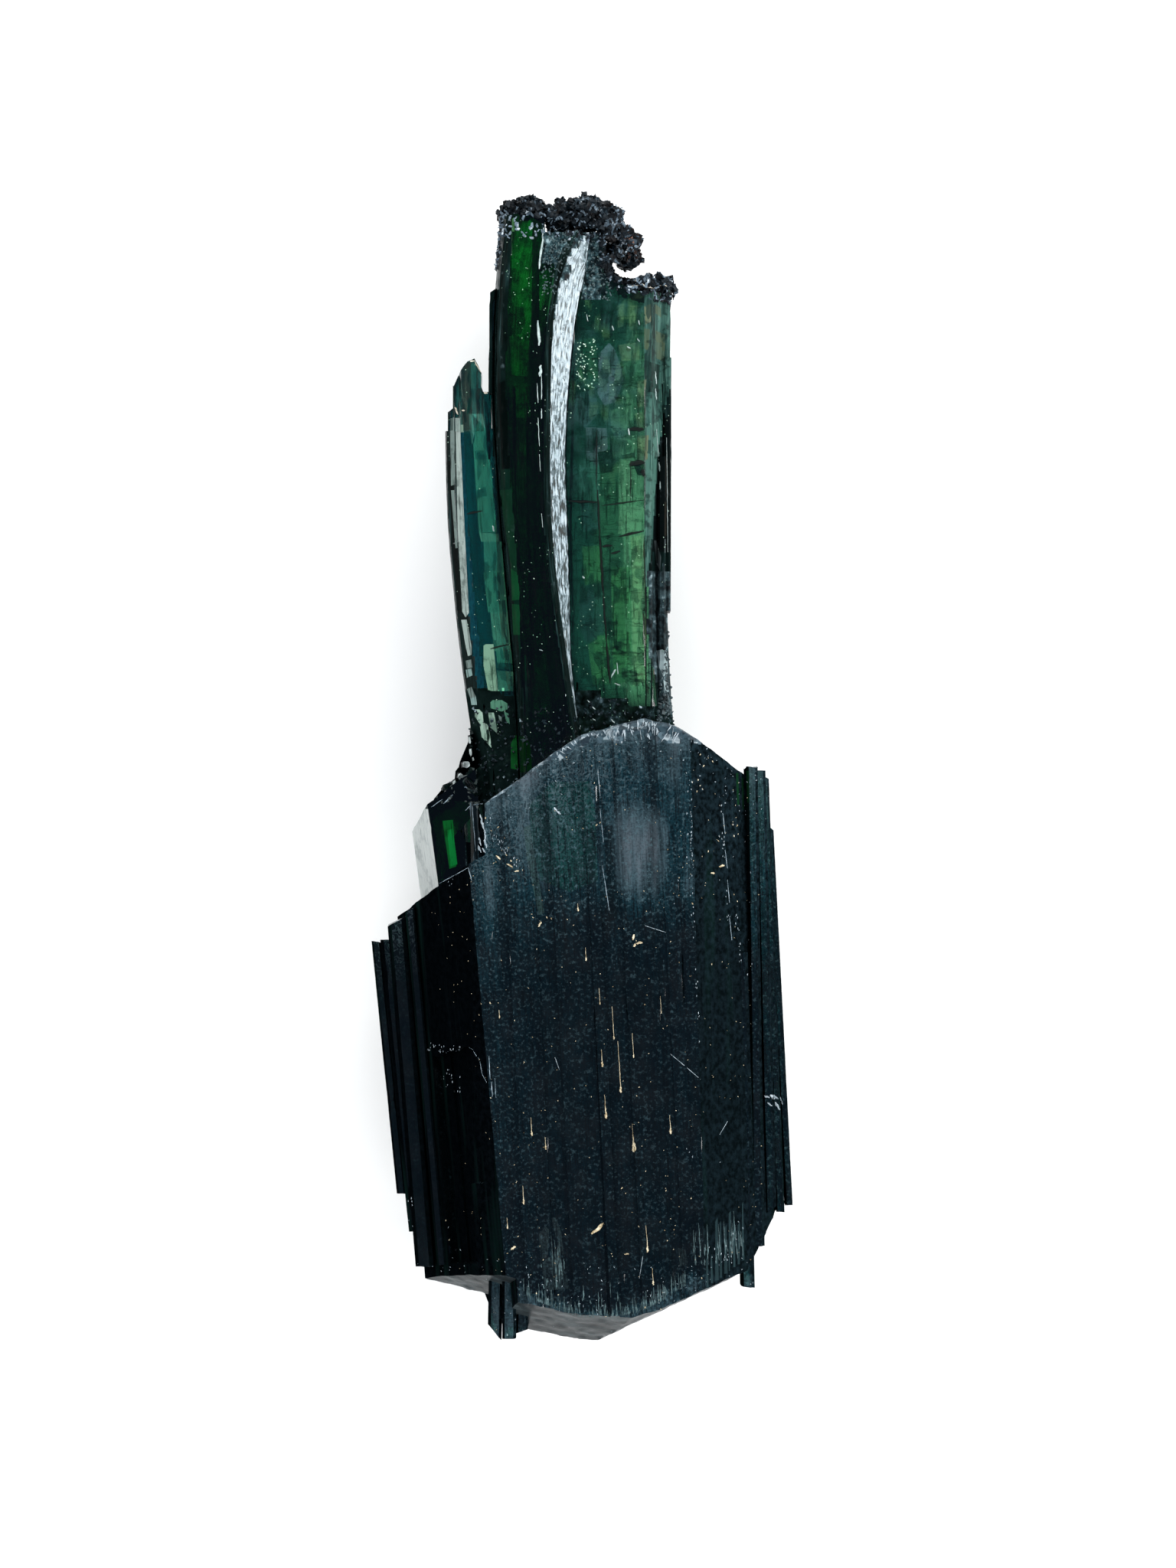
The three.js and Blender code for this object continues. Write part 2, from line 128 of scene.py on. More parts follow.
def buildStage():
    mesh = bpy.data.meshes.new("studioFloor")
    half = lightSetup["floorHalf"]
    mesh.from_pydata([(-half, -half, 0), (half, -half, 0), (half, half, 0), (-half, half, 0)], [], [(0, 1, 2, 3)])
    floor = addObject("studioFloor", mesh)
    material = bpy.data.materials.new("paintedStudioFloor")
    material.use_nodes = True
    shader = material.node_tree.nodes["Principled BSDF"]
    shader.inputs["Base Color"].default_value = linear(lightSetup["floorColour"])
    shader.inputs["Roughness"].default_value = 0.9
    shader.inputs["Specular IOR Level"].default_value = 0.1
    mesh.materials.append(material)

    world = bpy.data.worlds.new("studioSky")
    world.use_nodes = True
    world.node_tree.nodes["Background"].inputs["Color"].default_value = linear(lightSetup["skyColour"])
    world.node_tree.nodes["Background"].inputs["Strength"].default_value = lightSetup["skyStrength"]
    scene.world = world

    reach = lightSetup["panelDistance"]
    for name, (x, y, power) in lightSetup["panels"].items():
        data = bpy.data.lights.new(name + "Softbox", "AREA")
        data.shape = "RECTANGLE"
        data.size, data.size_y = lightSetup["panelSize"]
        data.energy = power
        lamp = addObject(name + "Softbox", data)
        lamp.location = (x * reach, y * reach, lightSetup["panelHeight"])
        lamp.rotation_euler = Vector(lamp.location).to_track_quat("Z", "Y").to_euler()
    scene.view_settings.view_transform = "Standard"


buildCamera()
buildStage()
print("camera, floor and lights are placed")


# Cutting the joined crystals apart where they meet

def smoothEdge(points):
    # a centripetal curve through [along, across] points, read at any place along the axis
    nodes = [Vector((x, y)) for y, x in points]
    nodes = [nodes[0] * 2 - nodes[1]] + nodes + [nodes[-1] * 2 - nodes[-2]]
    along, over = [], []
    steps = 12
    for i in range(len(nodes) - 3):
        p0, p1, p2, p3 = nodes[i:i + 4]
        d1, d2, d3 = ((b - a).length ** 0.5 for a, b in ((p0, p1), (p1, p2), (p2, p3)))
        m1 = ((p1 - p0) / d1 - (p2 - p0) / (d1 + d2) + (p2 - p1) / d2) * d2
        m2 = ((p2 - p1) / d2 - (p3 - p1) / (d2 + d3) + (p3 - p2) / d3) * d2
        for t in (step / steps for step in range(steps)):
            h = (2 * t**3 - 3 * t**2 + 1, t**3 - 2 * t**2 + t, 3 * t**2 - 2 * t**3, t**3 - t**2)
            p = p1 * h[0] + m1 * h[1] + p2 * h[2] + m2 * h[3]
            over.append(p.x)
            along.append(p.y)
    over.append(nodes[-2].x)
    along.append(nodes[-2].y)
    return lambda y: np.interp(y, along, over)


# Where the tall blades' edges run, in mm.
darkLeft = smoothEdge([
    [38, -5], [50, -5.6], [57, -5.9], [65, -6.6], [75, -7.4], [83, -7.8], [91.5, -7.6], [96, -7.3], [101, -6.8],
])
darkRight = smoothEdge([
    [38, 2], [50, 0.2], [56, -0.7], [60, -1.3], [66, -2.1], [72, -2.65], [84, -2.7], [89, -2.5], [92, -2.1],
    [94.5, -1.5], [97, -0.3], [101, 1.2],
])
stepRight = smoothEdge([
    [38, 2.1], [50, 0.4], [56, -0.55], [60, -0.95], [66, -1.05], [72, -1.25], [78, -1.4], [84, -1.05],
    [89, -0.5], [93, 0.2], [97, 0.8], [101, 1.6],
])
broadRight = smoothEdge([[38, 8.4], [54, 8.1], [60, 7.7], [68, 7.6], [78, 7.95], [84, 7.8], [92, 7.9]])
spearLeft = smoothEdge([
    [38, -8.4], [50, -9.3], [54, -9.85], [60, -10.7], [66, -11.35], [72, -11.85], [80, -12.05], [84, -12.0],
])

# The lower crystal, in mm: the height of its front face, its upper edge there, how its end faces slant back from
# it, and two points inside it.
blockFront = 20
topEdge = [(-14, 43.2), (-8.4, 47.1), (-0.2, 53.0), (5.4, 54.5), (8.1, 53.8), (14.1, 50.2), (17, 48.4)]
endSlant = 0.09
insideBlock, insideLeft = (3, 27, 9), (-6, 24, 9)

# The rounded, smoky end of the spear, and the room round it that stays empty.
tipEdge = [
    (-11.19, 83.73), (-10.85, 84.53), (-10.38, 85.27), (-10.05, 85.74), (-9.44, 85.94), (-9.04, 85.34),
    (-8.77, 84.8), (-8.8, 83.59), (-8.64, 83.19),
]
spearTip = [(-11.19, 79.7), *tipEdge, (-8.03, 83.19), (-8.03, 79.7)]
aroundTip = [(-12.4, 83.73), *tipEdge, (-7.7, 83.19), (-7.7, 87.96), (-12.4, 87.96)]

# The long column down the dark blade's left, and the room for the little crystals at the spear's foot.
sideColumn = [
    (-7.5, 92.26), (-7.84, 92.03), (-8.01, 91.49), (-8.07, 90.68), (-8.07, 86.99), (-8.14, 85.98), (-8.15, 82.95),
    (-7.5, 82.95),
]
aroundDruse = [(-13.7, 47.66), (-12.42, 48.4), (-10.74, 49.21), (-9.87, 49.82), (-9.87, 54.53), (-13.7, 54.53)]


def meshObject(name, build):
    mesh = bpy.data.meshes.new(name)
    build.to_mesh(mesh)
    build.free()
    return addObject(name, mesh)


def outlineBlock(name, outline, under=-6, over=32):
    # an upright block with the given outline, in mm
    build = bmesh.new()
    low = [build.verts.new(at(x, y, under)) for x, y in outline]
    high = [build.verts.new(at(x, y, over)) for x, y in outline]
    build.faces.new(low)
    build.faces.new(high)
    for i in range(len(outline)):
        j = (i + 1) % len(outline)
        build.faces.new([low[i], low[j], high[j], high[i]])
    bmesh.ops.recalc_face_normals(build, faces=build.faces)
    return meshObject(name, build)


def convexCutter(name, planes):
    # a large block cut back to each plane: a point on it in mm, and the way it faces
    build = bmesh.new()
    bmesh.ops.create_cube(build, size=0.3)
    for point, normal in planes:
        geometry = build.verts[:] + build.edges[:] + build.faces[:]
        cut = bmesh.ops.bisect_plane(
            build, geom=geometry, plane_co=at(*point), plane_no=Vector(normal), clear_outer=True)
        edges = [e for e in cut["geom_cut"] if isinstance(e, bmesh.types.BMEdge)]
        if edges:
            bmesh.ops.contextual_create(build, geom=edges)
    bmesh.ops.recalc_face_normals(build, faces=build.faces)
    return meshObject(name, build)


def leftOf(name, edge, spare=0.0):
    # everything left of an edge curve, as a block with one curved side
    lowest, highest, farLeft, gap, count = 36, 103, -60, 0.8, 84
    rows = [lowest + i * gap for i in range(count)]
    corners = [(farLeft, highest), (farLeft, lowest)]
    return outlineBlock(name, [(float(edge(y)) + spare, y) for y in rows] + corners)


def planeOf(a, b, c, inside):
    # the point and outward normal of the plane through three points, away from a point inside
    a, b, c, inside = (Vector(p) for p in (a, b, c, inside))
    normal = (b - a).cross(c - a).normalized()
    if (inside - a).dot(normal) > 0:
        normal.negate()
    return tuple(a + normal * 0.02), normal


def combine(source, cutter, operation, name):
    # source joined with, cut by or kept inside cutter, as a new plain mesh
    piece = addObject(name, source.data.copy())
    modifier = piece.modifiers.new("cut", "BOOLEAN")
    modifier.operation = operation
    modifier.solver = "EXACT"
    modifier.object = cutter
    bpy.context.view_layer.update()
    evaluated = piece.evaluated_get(bpy.context.evaluated_depsgraph_get())
    piece.data = bpy.data.meshes.new_from_object(evaluated)
    piece.modifiers.clear()
    piece.data.name = name
    return piece


def mergedCopy(node, name):
    build = bmesh.new()
    build.from_mesh(node.data)
    bmesh.ops.remove_doubles(build, verts=build.verts, dist=1e-7)
    bmesh.ops.dissolve_degenerate(build, dist=1e-7, edges=build.edges)
    return meshObject(name, build)


def splitCrystals():
    before = list(bpy.data.objects)
    whole = mergedCopy(cadCrystals, "wholeGroup")
    planes = [
        planeOf((*a, blockFront), (*b, blockFront), (a[0], a[1] - endSlant * blockFront, 0), insideBlock)
        for a, b in zip(topEdge[1:5], topEdge[2:6])
    ]
    planes.append(planeOf((-8.35, 47, blockFront), (-8.45, 40, blockFront), (-11.6, 44, 7), insideBlock))
    front = convexCutter("frontRegion", planes)
    left = convexCutter("leftRegion", [
        planeOf((-9.8, 41.8, blockFront), (-17.1, 36.6, 10), (-9.8, 39.8, 4), insideLeft), ((2, 0, 0), (1, 0, 0)),
    ])
    # the long columns at the far right reach past the end faces, and stay with the lower crystal
    rightColumns = convexCutter("rightRegion", [((14.2, 0, 0), (-1, 0, 0))])
    region = combine(front, left, "UNION", "lowerRegion")
    region = combine(region, rightColumns, "UNION", "lowerRegionWide")
    lower = combine(whole, region, "INTERSECT", "lowerCrystal")
    upper = combine(whole, region, "DIFFERENCE", "upperCrystals")
    outer = leftOf("outerRegion", spearLeft, -0.02)
    shoulder = combine(upper, outer, "INTERSECT", "wholeShoulder")
    tall = combine(upper, outer, "DIFFERENCE", "tallCrystals")
    spearSide = leftOf("spearRegion", darkLeft)
    spear = combine(tall, spearSide, "INTERSECT", "squareSpear")
    blades = combine(tall, spearSide, "DIFFERENCE", "bladeCrystals")
    darkSide = leftOf("darkRegion", stepRight, 0.04)
    dark = combine(blades, darkSide, "INTERSECT", "narrowDark")
    broad = combine(blades, darkSide, "DIFFERENCE", "broadBlade")
    filled = combine(spear, outlineBlock("tip", spearTip, 9.6, 13.05), "UNION", "filledSpear")
    rounded = combine(filled, outlineBlock("around", aroundTip), "DIFFERENCE", "spearCrystal")
    cleared = combine(shoulder, outlineBlock("room", aroundDruse, 8.2), "DIFFERENCE", "shoulderCrystal")
    widened = combine(dark, outlineBlock("column", sideColumn, 9.4, 13.3), "UNION", "darkBlade")
    kept = [lower, cleared, rounded, widened, broad]
    for piece in list(bpy.data.objects):
        if piece not in before and piece not in kept:
            bpy.data.objects.remove(piece)
    return kept


lowerCrystal, shoulderCrystal, spearCrystal, darkBlade, broadBlade = splitCrystals()
print("the joined crystals are cut apart where they meet")


# Growth lines, steps and wear in the mesh itself

def softNoise(points, size, seed):
    # smooth noise from -1 to 1 over points in mm; size is its grain along x, y and z
    place = np.asarray(points, dtype=float) / np.asarray(size, dtype=float)
    base = np.floor(place).astype(np.int64)
    part = place - base
    part = part * part * (3 - 2 * part)
    total = np.zeros(len(place))
    for corner in range(8):
        bits = np.array([corner & 1, (corner >> 1) & 1, (corner >> 2) & 1])
        cell = base + bits
        mixed = cell[:, 0] * 73856093 ^ cell[:, 1] * 19349663 ^ cell[:, 2] * 83492791 ^ (seed * 7919 + 17)
        mixed = ((mixed ^ (mixed >> 13)) * 1274126177) & 0xFFFFFFFF
        mixed = ((mixed ^ (mixed >> 15)) * 668265263) & 0xFFFFFFFF
        value = ((mixed >> 8) & 0xFFFF) / 32767.5 - 1
        total += value * np.prod(np.where(bits, part, 1 - part), axis=1)
    return total


def terraces(values, count):
    # flat treads with short risers between them
    scaled = values * count
    tread = np.round(scaled)
    return (tread + 0.5 * (2 * (scaled - tread)) ** 5) / count


def fade(value, low, high):
    # 0 at low, 1 at high, smooth between them
    share = np.clip((value - low) / (high - low), 0, 1)
    return share * share * (3 - 2 * share)


def spot(value, low, high, soft):
    return fade(value, low - soft, low + soft) * (1 - fade(value, high - soft, high + soft))


def flat3(a, b, c=0.0):
    return np.stack([a, b, np.broadcast_to(c, np.shape(a))], axis=1)


def ribs(run, y, seed, look):
    broad = terraces(softNoise(flat3(run, y), (look["ribWidth"], look["ribLength"], 1), seed), 3)
    fine = softNoise(flat3(run, y), (look["ribWidth"] * 0.34, look["ribLength"] * 0.45, 1), seed + 5)
    return look["ribHeight"] * (0.75 * broad + 0.25 * fine)


def readMesh(mesh):
    # corner points of the mesh in mm, its faces' normals and centres, and how many corners each face has
    points = np.empty(len(mesh.vertices) * 3)
    mesh.vertices.foreach_get("co", points)
    normals = np.empty(len(mesh.polygons) * 3)
    mesh.polygons.foreach_get("normal", normals)
    centres = np.empty(len(mesh.polygons) * 3)
    mesh.polygons.foreach_get("center", centres)
    totals = np.empty(len(mesh.polygons), dtype=np.int32)
    mesh.polygons.foreach_get("loop_total", totals)
    vertex = np.empty(len(mesh.loops), dtype=np.int32)
    mesh.loops.foreach_get("vertex_index", vertex)
    points, normals, centres = (flat.reshape(-1, 3) for flat in (points, normals, centres))
    return points * 1000 + np.array(shift), normals, centres * 1000 + np.array(shift), totals, vertex


sideShift = 40  # mm, which keeps the growth lines of the sides apart from those of the front


def dice(mesh, look):
    # cuts the flat faces into small cells along all three axes
    build = bmesh.new()
    build.from_mesh(mesh)
    bmesh.ops.dissolve_limit(build, angle_limit=math.radians(0.3), verts=build.verts, edges=build.edges)
    corners = np.array([v.co for v in build.verts])
    step = [s * 1 / 1000 for s in look["slice"]]
    for axis in (1, 0, 2):
        low, high = corners[:, axis].min(), corners[:, axis].max()
        places = list(np.arange(low + step[axis] * 0.37, high, step[axis]))
        for a, b, finer in look.get("finer", []) if axis == 1 else []:
            offset = shift[axis] / 1000
            places += list(np.arange(a / 1000 - offset, b / 1000 - offset, finer / 1000))
        normal = Vector((0, 0, 0))
        normal[axis] = 1
        for place in places:
            everything = build.verts[:] + build.edges[:] + build.faces[:]
            bmesh.ops.bisect_plane(build, geom=everything, dist=2e-6, plane_co=normal * place, plane_no=normal)
    bmesh.ops.remove_doubles(build, verts=build.verts, dist=3e-6)
    build.to_mesh(mesh)
    build.free()


def agreedMove(vertex, count, normals, lift, most):
    # moves each corner so that the lifts of its faces agree best, but no further than most
    square = np.zeros((count, 3, 3))
    pull = np.zeros((count, 3))
    for i in range(3):
        pull[:, i] = np.bincount(vertex, normals[:, i] * lift, count)
        for j in range(3):
            square[:, i, j] = np.bincount(vertex, normals[:, i] * normals[:, j], count)
    square += 0.15 * np.eye(3)
    move = np.linalg.solve(square, pull[:, :, None])[:, :, 0]
    length = np.linalg.norm(move, axis=1, keepdims=True)
    return move * np.minimum(1, most / np.maximum(length, 1e-9))


def setCreases(mesh, crease):
    # triangles, shaded smooth except where two meet at more than the crease angle
    build = bmesh.new()
    build.from_mesh(mesh)
    bmesh.ops.triangulate(build, faces=build.faces)
    bmesh.ops.dissolve_degenerate(build, dist=2e-6, edges=build.edges)
    for edge in build.edges:
        edge.smooth = edge.calc_face_angle(0) < math.radians(crease)
    for face in build.faces:
        face.smooth = True
    build.to_mesh(mesh)
    build.free()


def carve(piece, look, across, height, slotOf, tone, wear=None):
    # raises the diced faces along their own normals, and gives each its slot
    mesh = piece.data
    dice(mesh, look)
    points, normals, centres, totals, vertex = readMesh(mesh)
    owner = np.repeat(np.arange(len(totals)), totals)
    # 0 for the front and back, 1 for the long sides, 2 for the ends
    side = np.where(abs(normals[:, 2]) > 0.8, 0, np.where(abs(normals[:, 1]) > 0.5, 2, 1))
    lift = height(points[vertex], normals[owner], side[owner])
    moved = points + agreedMove(vertex, len(points), normals[owner], lift, look["mostMove"])
    if wear is not None:
        moved = wear(moved)
    mesh.vertices.foreach_set("co", ((moved - np.array(shift)) / 1000).ravel())
    mesh.polygons.foreach_set("material_index", slotOf(centres, normals, side).astype(np.int32))
    kind = mesh.attributes.new("side", "INT", "FACE")
    kind.data.foreach_set("value", side.astype(np.int32))
    setCreases(mesh, look["crease"])
    markGrowth(mesh, across, tone)
    print(piece.name, "has", len(mesh.polygons), "triangles")


def markGrowth(mesh, across, tone):
    # growth: share of the crystal's width, mm up the axis and mm over the surface; tone: how much light it lets by
    points, _, _, totals, vertex = readMesh(mesh)
    side = np.empty(len(mesh.polygons), dtype=np.int32)
    mesh.attributes["side"].data.foreach_get("value", side)
    side = np.repeat(side, totals)
    corner = points[vertex]
    fraction, run = across(corner[:, 0], corner[:, 1])
    run = np.where(side == 1, corner[:, 2] + sideShift * np.sign(corner[:, 0]), run)
    growth = mesh.attributes.new("growth", "FLOAT_VECTOR", "CORNER")
    growth.data.foreach_set("vector", np.stack([fraction, corner[:, 1], run], axis=1).astype(np.float32).ravel())
    fraction = across(points[:, 0], points[:, 1])[0]
    # on the lower crystal the tone is the skin's paleness, painted reflections included
    shade = mesh.attributes.new("tone", "FLOAT", "POINT")
    shade.data.foreach_set("value", np.clip(tone(fraction, points), 0, 1).astype(np.float32))
    mesh.attributes.remove(mesh.attributes["side"])


def betweenEdges(left, right):
    def across(x, y):
        low, high = left(y), right(y)
        fraction = (x - low) / np.maximum(high - low, 0.5)
        return fraction, fraction * 6
    return across


def leaning(x, y):
    # the lower crystals' growth lines all lean a little towards the top left
    slope = np.interp(x, [-18, -9, 1, 16], [0.10, 0.10, 0.055, 0.05])
    straight = x + slope * (y - 27)
    return (straight + 18) / 36, straight


lowerLook = {
    "slice": (0.22, 0.62, 0.5),  # mm between cuts along x, y and z
    "finer": [(38, 54.6, 0.31), (2, 8, 0.31)],
    "ribWidth": 1.5, "ribLength": 46, "ribHeight": 0.05,
    "mostMove": 0.4, "crease": 24,
    "rimRound": 0.42,  # mm, the worn front edge of the top
}
bladeLook = {
    "slice": (0.2, 0.7, 0.5),
    "ribWidth": 0.9, "ribLength": 22, "ribHeight": 0.035,
    "mostMove": 0.5, "crease": 14,
}
shoulderLook = {
    "slice": (0.22, 0.4, 0.45),
    "ribWidth": 0.9, "ribLength": 14, "ribHeight": 0.04,
    "mostMove": 0.4, "crease": 26,
}

bladeBack = 7.4  # mm, where the tall blades' long sides come out from behind


def footEdge(x):
    # how far down the front face reaches, in mm
    return np.interp(x, [-6, -4.5, -1.5, 0, 2.5, 5, 7, 9.5], [5.2, 4.2, 3.0, 2.5, 2.5, 3.0, 4.0, 5.6])


def crestAt(x):
    # how far up the front face reaches, in mm
    return np.interp(x, [p[0] for p in topEdge], [p[1] for p in topEdge])


def belowTop(points):
    # mm below the slanting end faces
    steepness = 0.86
    return (crestAt(points[:, 0]) - endSlant * (blockFront - points[:, 2]) - points[:, 1]) * steepness


def lowerHeight(points, normals, side):
    x, y, z = points.T
    run = np.where(side == 1, z + sideShift * np.sign(x), leaning(x, y)[1])
    lift = ribs(run, y, 3, lowerLook)
    dented = softNoise(points, (2.6, 3.2, 2.6), 21)
    lift -= 0.10 * np.clip(dented - 0.55, 0, 1) * (side != 2)
    # small nicks, drawn out along the growth lines, more of them near the lower end
    nick = softNoise(flat3(run, y, z), (0.5, 1.6, 2), 44)
    lift -= 0.09 * np.clip(nick - 0.62 + 0.2 * fade(y, 9, 3), 0, 0.3) / 0.3 * (side != 2)
    # end faces are hackly, with small chips
    hackle = terraces(softNoise(points, (0.9, 0.9, 1.3), 31), 2)
    return np.where(side == 2, 0.09 * hackle, lift)


def lowerWear(points):
    radius = lowerLook["rimRound"] * (1 + 0.7 * softNoise(points, (1.1, 1.1, 1.1), 12))
    down, back = belowTop(points), blockFront - points[:, 2]
    a, b = radius - np.maximum(down, 0), radius - np.maximum(back, 0)
    reach = np.hypot(a, b)
    worn = (a > 0) & (b > 0) & (reach > radius) & (points[:, 0] > -9.5) & (points[:, 0] < 14) & (points[:, 1] > 44)
    pull = np.where(worn, 1 - radius / np.maximum(reach, 1e-6), 0)
    points = points.copy()
    points[:, 1] -= a * pull
    points[:, 2] -= b * pull
    return points


def lowerSlots(centres, normals, side):
    # 0 the front, 1 the left sides, 2 the right sides, 3 the worn rim, 4 the worn foot
    slot = np.zeros(len(centres))
    depth = np.interp(centres[:, 0], [-9, -3, -1.4, 1, 3, 5, 8, 8.9], [0.28, 0.28, 0.9, 0.6, 1.1, 1.5, 1.3, 0.3])
    chips = 0.65 * softNoise(centres, (0.8, 0.8, 0.8), 4) + 0.35 * softNoise(centres, (0.3, 0.3, 0.3), 9)
    rim = (belowTop(centres) < depth * (0.9 + 0.9 * chips)) & (centres[:, 2] > 18.9) & (centres[:, 0] > -8)
    upright = (side == 1) & (centres[:, 2] > 1)
    slot[(normals[:, 0] < -0.45) & upright] = 1
    slot[(normals[:, 0] > 0.45) & upright] = 2
    slot[rim] = 3
    slot[(normals[:, 1] < -0.35) & (centres[:, 1] < 9)] = 4
    return slot


def lowerTone(fraction, points):
    # the skin's paleness: a soft bright patch under the top and a teal zone left of it, both painted reflections,
    # duller cloud round it, dull chips near the foot
    x, y = points.T[:2]
    # the bright patch is a painted highlight: a soft reflection laid into the tone
    patch = spot(x, 3.0, 7.3, 0.9) * spot(y, 39, 45.2, 3.2) * (0.85 + 0.35 * softNoise(points, (0.45, 5, 1), 75))
    upper = fade(y, 30, 47) * 0.3 + fade(y, 47, 53) * 0.12
    rim = fade(belowTop(points), 2.4, 0.2) * 0.12
    edge = y - footEdge(x)
    teeth = softNoise(points, (0.35, 2.2, 1), 71) + fade(edge, 0.9, 0.0)
    foot = 0.45 * fade(edge, 1.9, 0.0) * fade(teeth, -0.2, 0.5)
    left = 0.1 * fade(x, -2, -7)
    wisps = 0.3 * fade(y, 30, 40) * np.clip(softNoise(points, (1.6, 5, 2), 72) - 0.1, 0, 1)
    mottle = 0.05 * softNoise(points, (0.9, 1.6, 1), 73) + 0.05 * softNoise(points, (0.3, 0.8, 1), 74)
    mottle = mottle - 0.3 * fade(x, -9.2, -9.8) + 0.1 * fade(x, 14, 14.6)
    # the teal zone is a painted reflection too
    tealSheen = 0.12 * spot(x, -5.5, 0.2, 1.2) * spot(y, 38.5, 46.5, 2.5)
    return 0.14 + 0.52 * patch + 1.1 * upper + rim + foot + left + wisps + mottle + tealSheen


def bladeHeight(seed, across):
    def height(points, normals, side):
        x, y, z = points.T
        run = np.where(side == 1, z + sideShift * np.sign(normals[:, 0]), across(x, y)[1])
        lift = ribs(run, y, seed, bladeLook)
        # cleavage breaks straight across the growth lines
        crack = softNoise(flat3(run, y), (2.4, 1.5, 1), seed + 9)
        lift -= 0.05 * (abs(crack) < 0.05) * (side != 2)
        hackle = terraces(softNoise(points, (0.7, 0.7, 0.9), seed + 3), 2)
        return np.where(side == 2, 0.12 * hackle, lift)
    return height


def frontTo(across, shares, heights, low):
    # sets the front of a blade to a profile over its width, leaving its sides and back
    def wear(points):
        x, y, z = points.T
        share = across(x, y)[0]
        target = np.interp(share, shares, heights)
        change = np.where((z > low(share)) & (share > -0.01) & (share < 1.01), 1.0, 0.0)
        points = points.copy()
        grown = softNoise(flat3(share * 6, y), (0.5, 9, 1), 91) * 0.03
        points[:, 2] += change * (np.clip(target - z, -0.7, 0.7) + grown)
        return points
    return wear


def steep(normals, centres):
    return (abs(normals[:, 0]) > 0.42) & (centres[:, 2] > bladeBack)


def shoulderSlots(centres, normals, side):
    # 0 clear, 1 edges, 2 the pale side, a painted reflection, 3 the streaked column; its green window, painted light
    # shining through, comes later, as 4
    x, y, z = centres.T
    slot = np.where(steep(normals, centres) | (side == 2), 1, 0)
    slot[(normals[:, 0] < -0.4) & (x < -12.4) & (y < 46.6) & (z > 4)] = 2
    slot[(x > -9.9) & (z > 15.5)] = 3
    return slot


def spearSlots(centres, normals, side):
    # 0 clear, 1 edges, 3 the step down its middle, 4 the dark foot; the pale flakes, painted reflections, come later,
    # as 2
    x, y, z = centres.T
    share = acrossSpear(x, y)[0]
    slot = np.where(steep(normals, centres) & ((share < 0.3) | (share > 0.97)), 1, 0)
    slot[(share > 0.26) & (share < 0.4) & (z > 10.8) & (y < 80)] = 3
    slot[(y < 57.0 + 0.3 * softNoise(centres, (0.5, 0.8, 0.5), 55)) & (z > 9.5)] = 4
    return slot


def darkSlots(centres, normals, side):
    # 0 clear, 1 edges, 2 the pearly face, whose paleness is a painted reflection, 3 frosted
    x, y, z = centres.T
    slot = np.where(steep(normals, centres) & (x < darkLeft(y) + 1.2), 1, 0)
    slot[(x < darkLeft(y) + np.where(y > 58, 0.45, 0.75)) & (z > 9)] = 1
    face = (x > darkRight(y) - 0.12) & (z > 11.7) & (normals[:, 2] > 0.2) & (y > 54.5) & (y < 97)
    slot[(x > darkRight(y) - 0.6) & (normals[:, 0] > 0.16) & (z > 11)] = 1
    slot[face & (normals[:, 0] > 0.35)] = 2
    # the pearly face's upper left side is bitten away
    bitten = np.interp(
        y, [84, 90, 92.6, 93.4, 94.3, 94.9, 95.8, 97.2], [-0.3, 0.05, 0.15, 0.75, 0.65, 0.1, 0.4, 0.6])
    bitten = bitten + 0.22 * softNoise(centres, (0.25, 0.35, 0.25), 66)
    slot[(slot == 2) & (y > 86) & (x < darkRight(y) + bitten)] = 3
    # frosted with tiny crystals beside the top of the pearly face
    ragged = 0.45 * softNoise(centres, (0.5, 0.7, 0.5), 57)
    top = np.interp(y, [93.4, 95, 97, 98.8], [0.4, 2.4, 3.2, 3.4])
    slot[(y > 93.6 + ragged) & (x > darkRight(y) - top + ragged) & (slot == 0) & (z > 11)] = 3
    return slot


def broadSlots(centres, normals, side):
    # 0 clear, 1 edges, 2 frosted, 3 the milky band, 4 the crushed edge, 5 the crushed foot
    x, y, z = centres.T
    # a milky band down the right, narrowing to a point, and the dull dark edge beyond it
    slate = np.interp(y, [56.8, 60.5, 67.2, 69.2, 74.6, 81.4, 84], [6.8, 5.82, 5.82, 6.16, 6.56, 7.17, 7.9])
    slate = slate + 0.12 * softNoise(centres, (0.5, 0.9, 0.5), 59)
    ragged = 0.35 * softNoise(centres, (0.4, 0.6, 0.4), 58)
    slot = np.where((x > 5.6) & (z > bladeBack) & (y > 66), 3, 0)
    dull = (x > slate) & (z > bladeBack)
    slot[dull] = np.where(y < 67.6 + 1.5 * ragged, 4, 1)[dull]
    slot[steep(normals, centres) & (x > broadRight(y) - 2.4) & (slot == 0)] = 1
    slot[(y < 57.2 - 0.25 * (x + 1.2) + 1.5 * ragged) & (z > 9)] = 5
    slot[(x < 1.55 + ragged) & (x > stepRight(y) - 0.1) & (y > 91.2 + ragged) & (normals[:, 2] > 0.3)] = 2
    return slot


def spearTone(share, points):
    x, y = points.T[:2]
    foot = fade(y, 50, 57)
    windows = 0.9 * spot(x, -9.3, -8.0, 0.15) * spot(y, 51.6, 55.6, 0.5)
    return 0.15 + 0.75 * foot + windows


def darkTone(share, points):
    y = points[:, 1]
    share = share + 0.03 * softNoise(points, (1, 2.4, 1), 61)
    trail = 0.2 * spot(share, 0.2, 0.6, 0.1) * spot(y, 74, 98, 4)
    return 0.04 + trail + 0.07 * fade(y, 58, 70) * softNoise(points, (0.7, 3, 1), 63)


